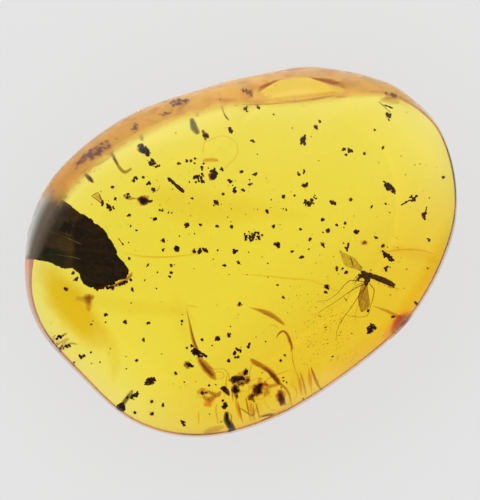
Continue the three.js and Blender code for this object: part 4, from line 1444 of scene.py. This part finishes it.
def skinAndReflectionMaterial():
    # Oxidised resin left on the surface: a thin chalky film, tan and gold inside, purple-grey where it is
    # bruised, and smoky brown over the end of the flake. Its cream to white outer rim is partly a painted
    # reflection of the bright room on the steep edge; it is darker towards the left as painted shade, and
    # purple on the right crust as a painted highlight.
    material, tree = newMaterial("weathered_skin_and_reflection")
    place = addNode(tree, "ShaderNodeTexCoord").outputs["Object"]
    cover, inward, smoke, bruise = [
        addNode(tree, "ShaderNodeAttribute", {"attribute_name": name}).outputs["Fac"]
        for name in ("cover", "inward", "smoke", "bruise")]
    mottle = addNode(tree, "ShaderNodeTexNoise", {},
                     {"Vector": place, "Scale": 900.0, "Detail": 4.0, "Distortion": 0.6})
    cloud = addNode(tree, "ShaderNodeValToRGB", {}, {"Fac": mottle},
                    [(0.3, "#f0d2c4"), (0.5, "#fffaf0"), (0.75, "#fff4cc")])
    # the cream to white outer rim is partly the chalky skin and partly a painted reflection of the bright
    # room
    colour = addNode(tree, "ShaderNodeValToRGB", {}, {"Fac": inward},
                     [(0.0, "#fffaf2"), (0.32, "#ffeaca"), (0.5, "#ffe4ae"), (0.65, "#ffda8c"),
                      (1.0, "#ffd884")])
    # the smoky end: the flake's dark colour further in, and a pale painted reflection of the room at the
    # outer rim
    smokeAndReflection = addNode(tree, "ShaderNodeValToRGB", {}, {"Fac": inward},
                    [(0.0, "#f4f2ee"), (0.3, "#dcdad6"), (0.53, "#c6c3bc"), (0.69, "#9b958c"),
                     (0.82, "#70665b"), (1.0, "#6c5e50")])
    across = addNode(tree, "ShaderNodeSeparateXYZ", {}, {0: place})
    # painted shade: the film is darkened towards the left, where the larger soft box lights it more
    left = addNode(tree, "ShaderNodeMapRange", {}, {"Value": across, "From Min": -0.003, "From Max": -0.013})
    # cloudy all over, painted shade towards the left, then the bruises and the smoky end
    for blend, factor, tone in (("MULTIPLY", 1.0, cloud), ("MULTIPLY", left, hexColour("#e8d8c8")),
                                ("MIX", bruise, hexColour("#866468")), ("MIX", smoke, smokeAndReflection)):
        colour = addNode(tree, "ShaderNodeMix", {"data_type": "RGBA", "blend_type": blend},
                         {"Factor": factor, 6: colour, 7: tone}).outputs[2]
    # the smoky end stops nearly all of the light, and the rest is thinner at the rim
    most = addNode(tree, "ShaderNodeMapRange", {},
                   {"Value": smoke, "To Min": weatheredSkin["cover"], "To Max": 0.85})
    thinner = addNode(tree, "ShaderNodeMapRange", {},
                      {"Value": inward, "From Max": 0.35, "To Min": 0.55, "To Max": 1.0})
    alpha = cover
    for share in (most, thinner):
        alpha = addNode(tree, "ShaderNodeMath", {"operation": "MULTIPLY"}, {0: alpha, 1: share})
    # light from the pad comes up through it and is scattered, except at the smoky end
    through = addNode(tree, "ShaderNodeMapRange", {},
                      {"Value": smoke, "To Min": weatheredSkin["through"], "To Max": 0.0})
    shader = addNode(tree, "ShaderNodeBsdfPrincipled", {},
                     {"Base Color": colour, "Alpha": alpha, "Transmission Weight": through,
                      "Roughness": 0.9, "IOR": 1.3, "Specular IOR Level": 0.0})
    addNode(tree, "ShaderNodeOutputMaterial", {}, {"Surface": shader})
    return material


makeWeatheredSkin()
print("weathered skin made")


# The amber's own surface and depth

amberTones = {
    "polish": 0.03,                 # roughness of the polished dome
    "backRoughness": 0.15,          # the back is only sanded
    "absorbed": (0.987, 0.93, 0.09),
    "density": 450.0,               # per metre, on what absorbed leaves out
    "goldStain": "#f8e07a",
    "rimGold": "#fdec60",
    "edgeStain": "#fff0dc",
    "wedgeStain": "#f2d95c",
    "lensStain": "#ffdc98",
    "crustStain": "#ff9450",
    "crustCore": "#a04c42",
    # soft patches: x, y, half width, half depth, turn in degrees, softness
    "wedge": (-11.7, -3.7, 4.4, 1.7, -52, 0.6),
    "lens": (4.9, 12.0, 6.0, 2.2, 3, 0.4),
    "crust": (11.3, -5.1, 2.1, 1.0, 48, 0.8),
    "core": (11.4, -4.95, 1.3, 0.66, 48, 0.7),
}


def makeAmberMaterial():
    # Fossil resin, cut and polished by hand: clear, golden by absorption, so it is yellow where it is
    # thin and orange where light runs along it; the sloped edge keeps some of the darker weathered skin.
    settings = amberTones
    material, tree = newMaterial("polished_amber")
    place = addNode(tree, "ShaderNodeTexCoord").outputs["Object"]
    skin, under, rimGold = [addNode(tree, "ShaderNodeAttribute", {"attribute_name": name}).outputs["Fac"]
                            for name in ("edgeSkin", "underside", "rimGold")]
    noisy = addNode(tree, "ShaderNodeTexNoise", {}, {"Vector": place, "Scale": 700.0, "Detail": 3.0})
    wander = addNode(tree, "ShaderNodeMath", {"operation": "MULTIPLY_ADD"}, {0: noisy, 1: 0.5, 2: -0.25})

    def blob(x, y, wide, deep, angle, soft):
        # 1 inside a soft ellipse, 0 outside, with a wandering border
        turned = addNode(tree, "ShaderNodeMapping", {"vector_type": "TEXTURE"},
                         {"Vector": place, "Location": ((x - middle.x) * mm, (y - middle.y) * mm, 0.003),
                          "Rotation": (0, 0, math.radians(angle)), "Scale": (wide * mm, deep * mm, 0.02)})
        far = addNode(tree, "ShaderNodeVectorMath", {"operation": "LENGTH"}, {0: turned}).outputs["Value"]
        total = addNode(tree, "ShaderNodeMath", {"operation": "ADD"}, {0: far, 1: wander})
        return addNode(tree, "ShaderNodeMapRange", {"interpolation_type": "SMOOTHSTEP"},
                       {"Value": total, "From Min": 1 - soft, "From Max": 1.0, "To Min": 1.0, "To Max": 0.0})

    # deeper gold towards the lower right, in a wedge at the lower left and along the right rim
    slant = addNode(tree, "ShaderNodeVectorMath", {"operation": "DOT_PRODUCT"},
                    {0: place, 1: (650, -760, 0)}).outputs["Value"]
    lowerRight = addNode(tree, "ShaderNodeMapRange", {"interpolation_type": "SMOOTHSTEP"},
                         {"Value": slant, "From Min": 1.0, "From Max": 10.5})
    lens = addNode(tree, "ShaderNodeMath", {"operation": "MULTIPLY"}, {0: blob(*settings["lens"]), 1: skin})
    colour = (1, 1, 1, 1)
    for factor, stain in ((lowerRight, "goldStain"), (blob(*settings["wedge"]), "wedgeStain"),
                          (rimGold, "rimGold"), (skin, "edgeStain"), (lens, "lensStain"),
                          (blob(*settings["crust"]), "crustStain"), (blob(*settings["core"]), "crustCore")):
        colour = addNode(tree, "ShaderNodeMix", {"data_type": "RGBA", "blend_type": "MULTIPLY"},
                         {"Factor": factor, 6: colour, 7: hexColour(settings[stain])}).outputs[2]
    rough = addNode(tree, "ShaderNodeMapRange", {},
                    {"Value": under, "To Min": settings["polish"], "To Max": settings["backRoughness"]})
    # faint polishing ripples, about half a millimetre apart
    ripple = addNode(tree, "ShaderNodeTexNoise", {}, {"Vector": place, "Scale": 1300.0, "Detail": 2.0})
    bump = addNode(tree, "ShaderNodeBump", {}, {"Height": ripple, "Strength": 0.08, "Distance": 0.00003})
    shader = addNode(tree, "ShaderNodeBsdfPrincipled", {},
                     {"Base Color": colour, "Roughness": rough, "Normal": bump,
                      "IOR": amberBody["ior"], "Transmission Weight": 1.0})
    depth = addNode(tree, "ShaderNodeVolumeAbsorption", {},
                    {"Color": (*settings["absorbed"], 1), "Density": settings["density"]})
    addNode(tree, "ShaderNodeOutputMaterial", {}, {"Surface": shader, "Volume": depth})
    return material


amberPiece.data.materials.append(makeAmberMaterial())
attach(amberPiece, "root")
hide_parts("amber")
print("amber finished")


# The table and the light

table = {
    "paper": 0.15,              # how much of the room's light the pad returns
    "padGlow": 0.65,            # a light pad, evenly lit
    "underGlow": 0.86,          # brighter under the stone, which would shade it otherwise
    "glowStart": 0.9,           # shares of the stone's outline
    "glowEnd": 1.0,
    "rings": [0.5, 0.75, 0.86, 0.9, 0.93, 0.96, 0.98, 1.0, 1.03, 1.5, 4, 20, 80],
}

studio = {
    "left": (-0.85, 0.5, 0),    # which way each side light lies
    "farRight": (0.55, 0.83, 0),
    "around": 1.15,             # strength of the soft light all round
    "leftBoost": 0.75,          # a larger soft box at the left
    "overhead": 0.2,            # straight above, kept low so that the polished top stays clear
    "overheadLean": 0.6,        # how much brighter it gets towards the far right corner
    "coneInner": 0.8,
    "coneOuter": 0.7,
}


def makeTable():
    settings = table
    rim = closedSpline(amberBody["outline"], 96)[:, :2] - np.array(middle)[:2]
    low = -0.02 * mm
    verts, glow = [(0, 0, low)], [1.0]
    for scale in settings["rings"]:
        verts += [(x * scale * mm, y * scale * mm, low) for x, y in rim]
        glow += [1 - smoothStep(scale, settings["glowStart"], settings["glowEnd"])] * len(rim)
    count = len(rim)
    faces = []
    for here in range(count):
        after = (here + 1) % count
        faces.append((0, 1 + here, 1 + after))
        for ring in range(len(settings["rings"]) - 1):
            inner, outer = 1 + ring * count, 1 + (ring + 1) * count
            faces.append((inner + here, outer + here, outer + after, inner + after))
    mesh = bpy.data.meshes.new("light_pad")
    mesh.from_pydata(verts, [], faces)
    mesh.attributes.new("glow", "FLOAT", "POINT").data.foreach_set("value", glow)
    material, tree = newMaterial("light_pad")
    inside = addNode(tree, "ShaderNodeAttribute", {"attribute_name": "glow"}).outputs["Fac"]
    strength = addNode(tree, "ShaderNodeMapRange", {},
                       {"Value": inside, "To Min": settings["padGlow"], "To Max": settings["underGlow"]})
    grey = (settings["paper"],) * 3
    shader = addNode(tree, "ShaderNodeBsdfPrincipled", {},
                     {"Base Color": (*grey, 1), "Roughness": 0.9, "Specular IOR Level": 0.0,
                      "Emission Color": (1, 1, 1, 1), "Emission Strength": strength})
    addNode(tree, "ShaderNodeOutputMaterial", {}, {"Surface": shader})
    mesh.materials.append(material)
    linkObject("light_pad", mesh)


def makeStudio():
    world = bpy.data.worlds.new("soft_studio")
    bpy.context.scene.world = world
    world.use_nodes = True
    tree = world.node_tree
    tree.nodes.clear()
    place = addNode(tree, "ShaderNodeTexCoord").outputs["Generated"]

    def lean(direction, low, high, start, end):
        # start away from this direction, end towards it
        side = addNode(tree, "ShaderNodeVectorMath", {"operation": "DOT_PRODUCT"}, {0: place, 1: direction})
        return addNode(tree, "ShaderNodeMapRange", {"interpolation_type": "SMOOTHSTEP"},
                       {"Value": side.outputs["Value"], "From Min": low, "From Max": high,
                        "To Min": start, "To Max": end})

    around = lean(studio["left"], 0.2, 0.9, studio["around"], studio["around"] + studio["leftBoost"])
    overhead = lean(studio["farRight"], -0.1, 0.7, studio["overhead"] * 0.6,
                    studio["overhead"] + studio["overheadLean"])
    cone = lean((0, 0, 1), studio["coneOuter"], studio["coneInner"], 0.0, 1.0)
    strength = addNode(tree, "ShaderNodeMix", {"data_type": "FLOAT"},
                       {"Factor": cone, "A": around, "B": overhead})
    sky = addNode(tree, "ShaderNodeBackground", {}, {"Color": (1, 1, 1, 1), "Strength": strength})
    addNode(tree, "ShaderNodeOutputWorld", {}, {"Surface": sky})


makeTable()
makeStudio()

scene = bpy.context.scene
scene.view_settings.view_transform = "Standard"
scene.cycles.max_bounces = 24
scene.cycles.transmission_bounces = 24
scene.cycles.glossy_bounces = 16
scene.cycles.diffuse_bounces = 4
scene.cycles.transparent_max_bounces = 32
print("table and light made")
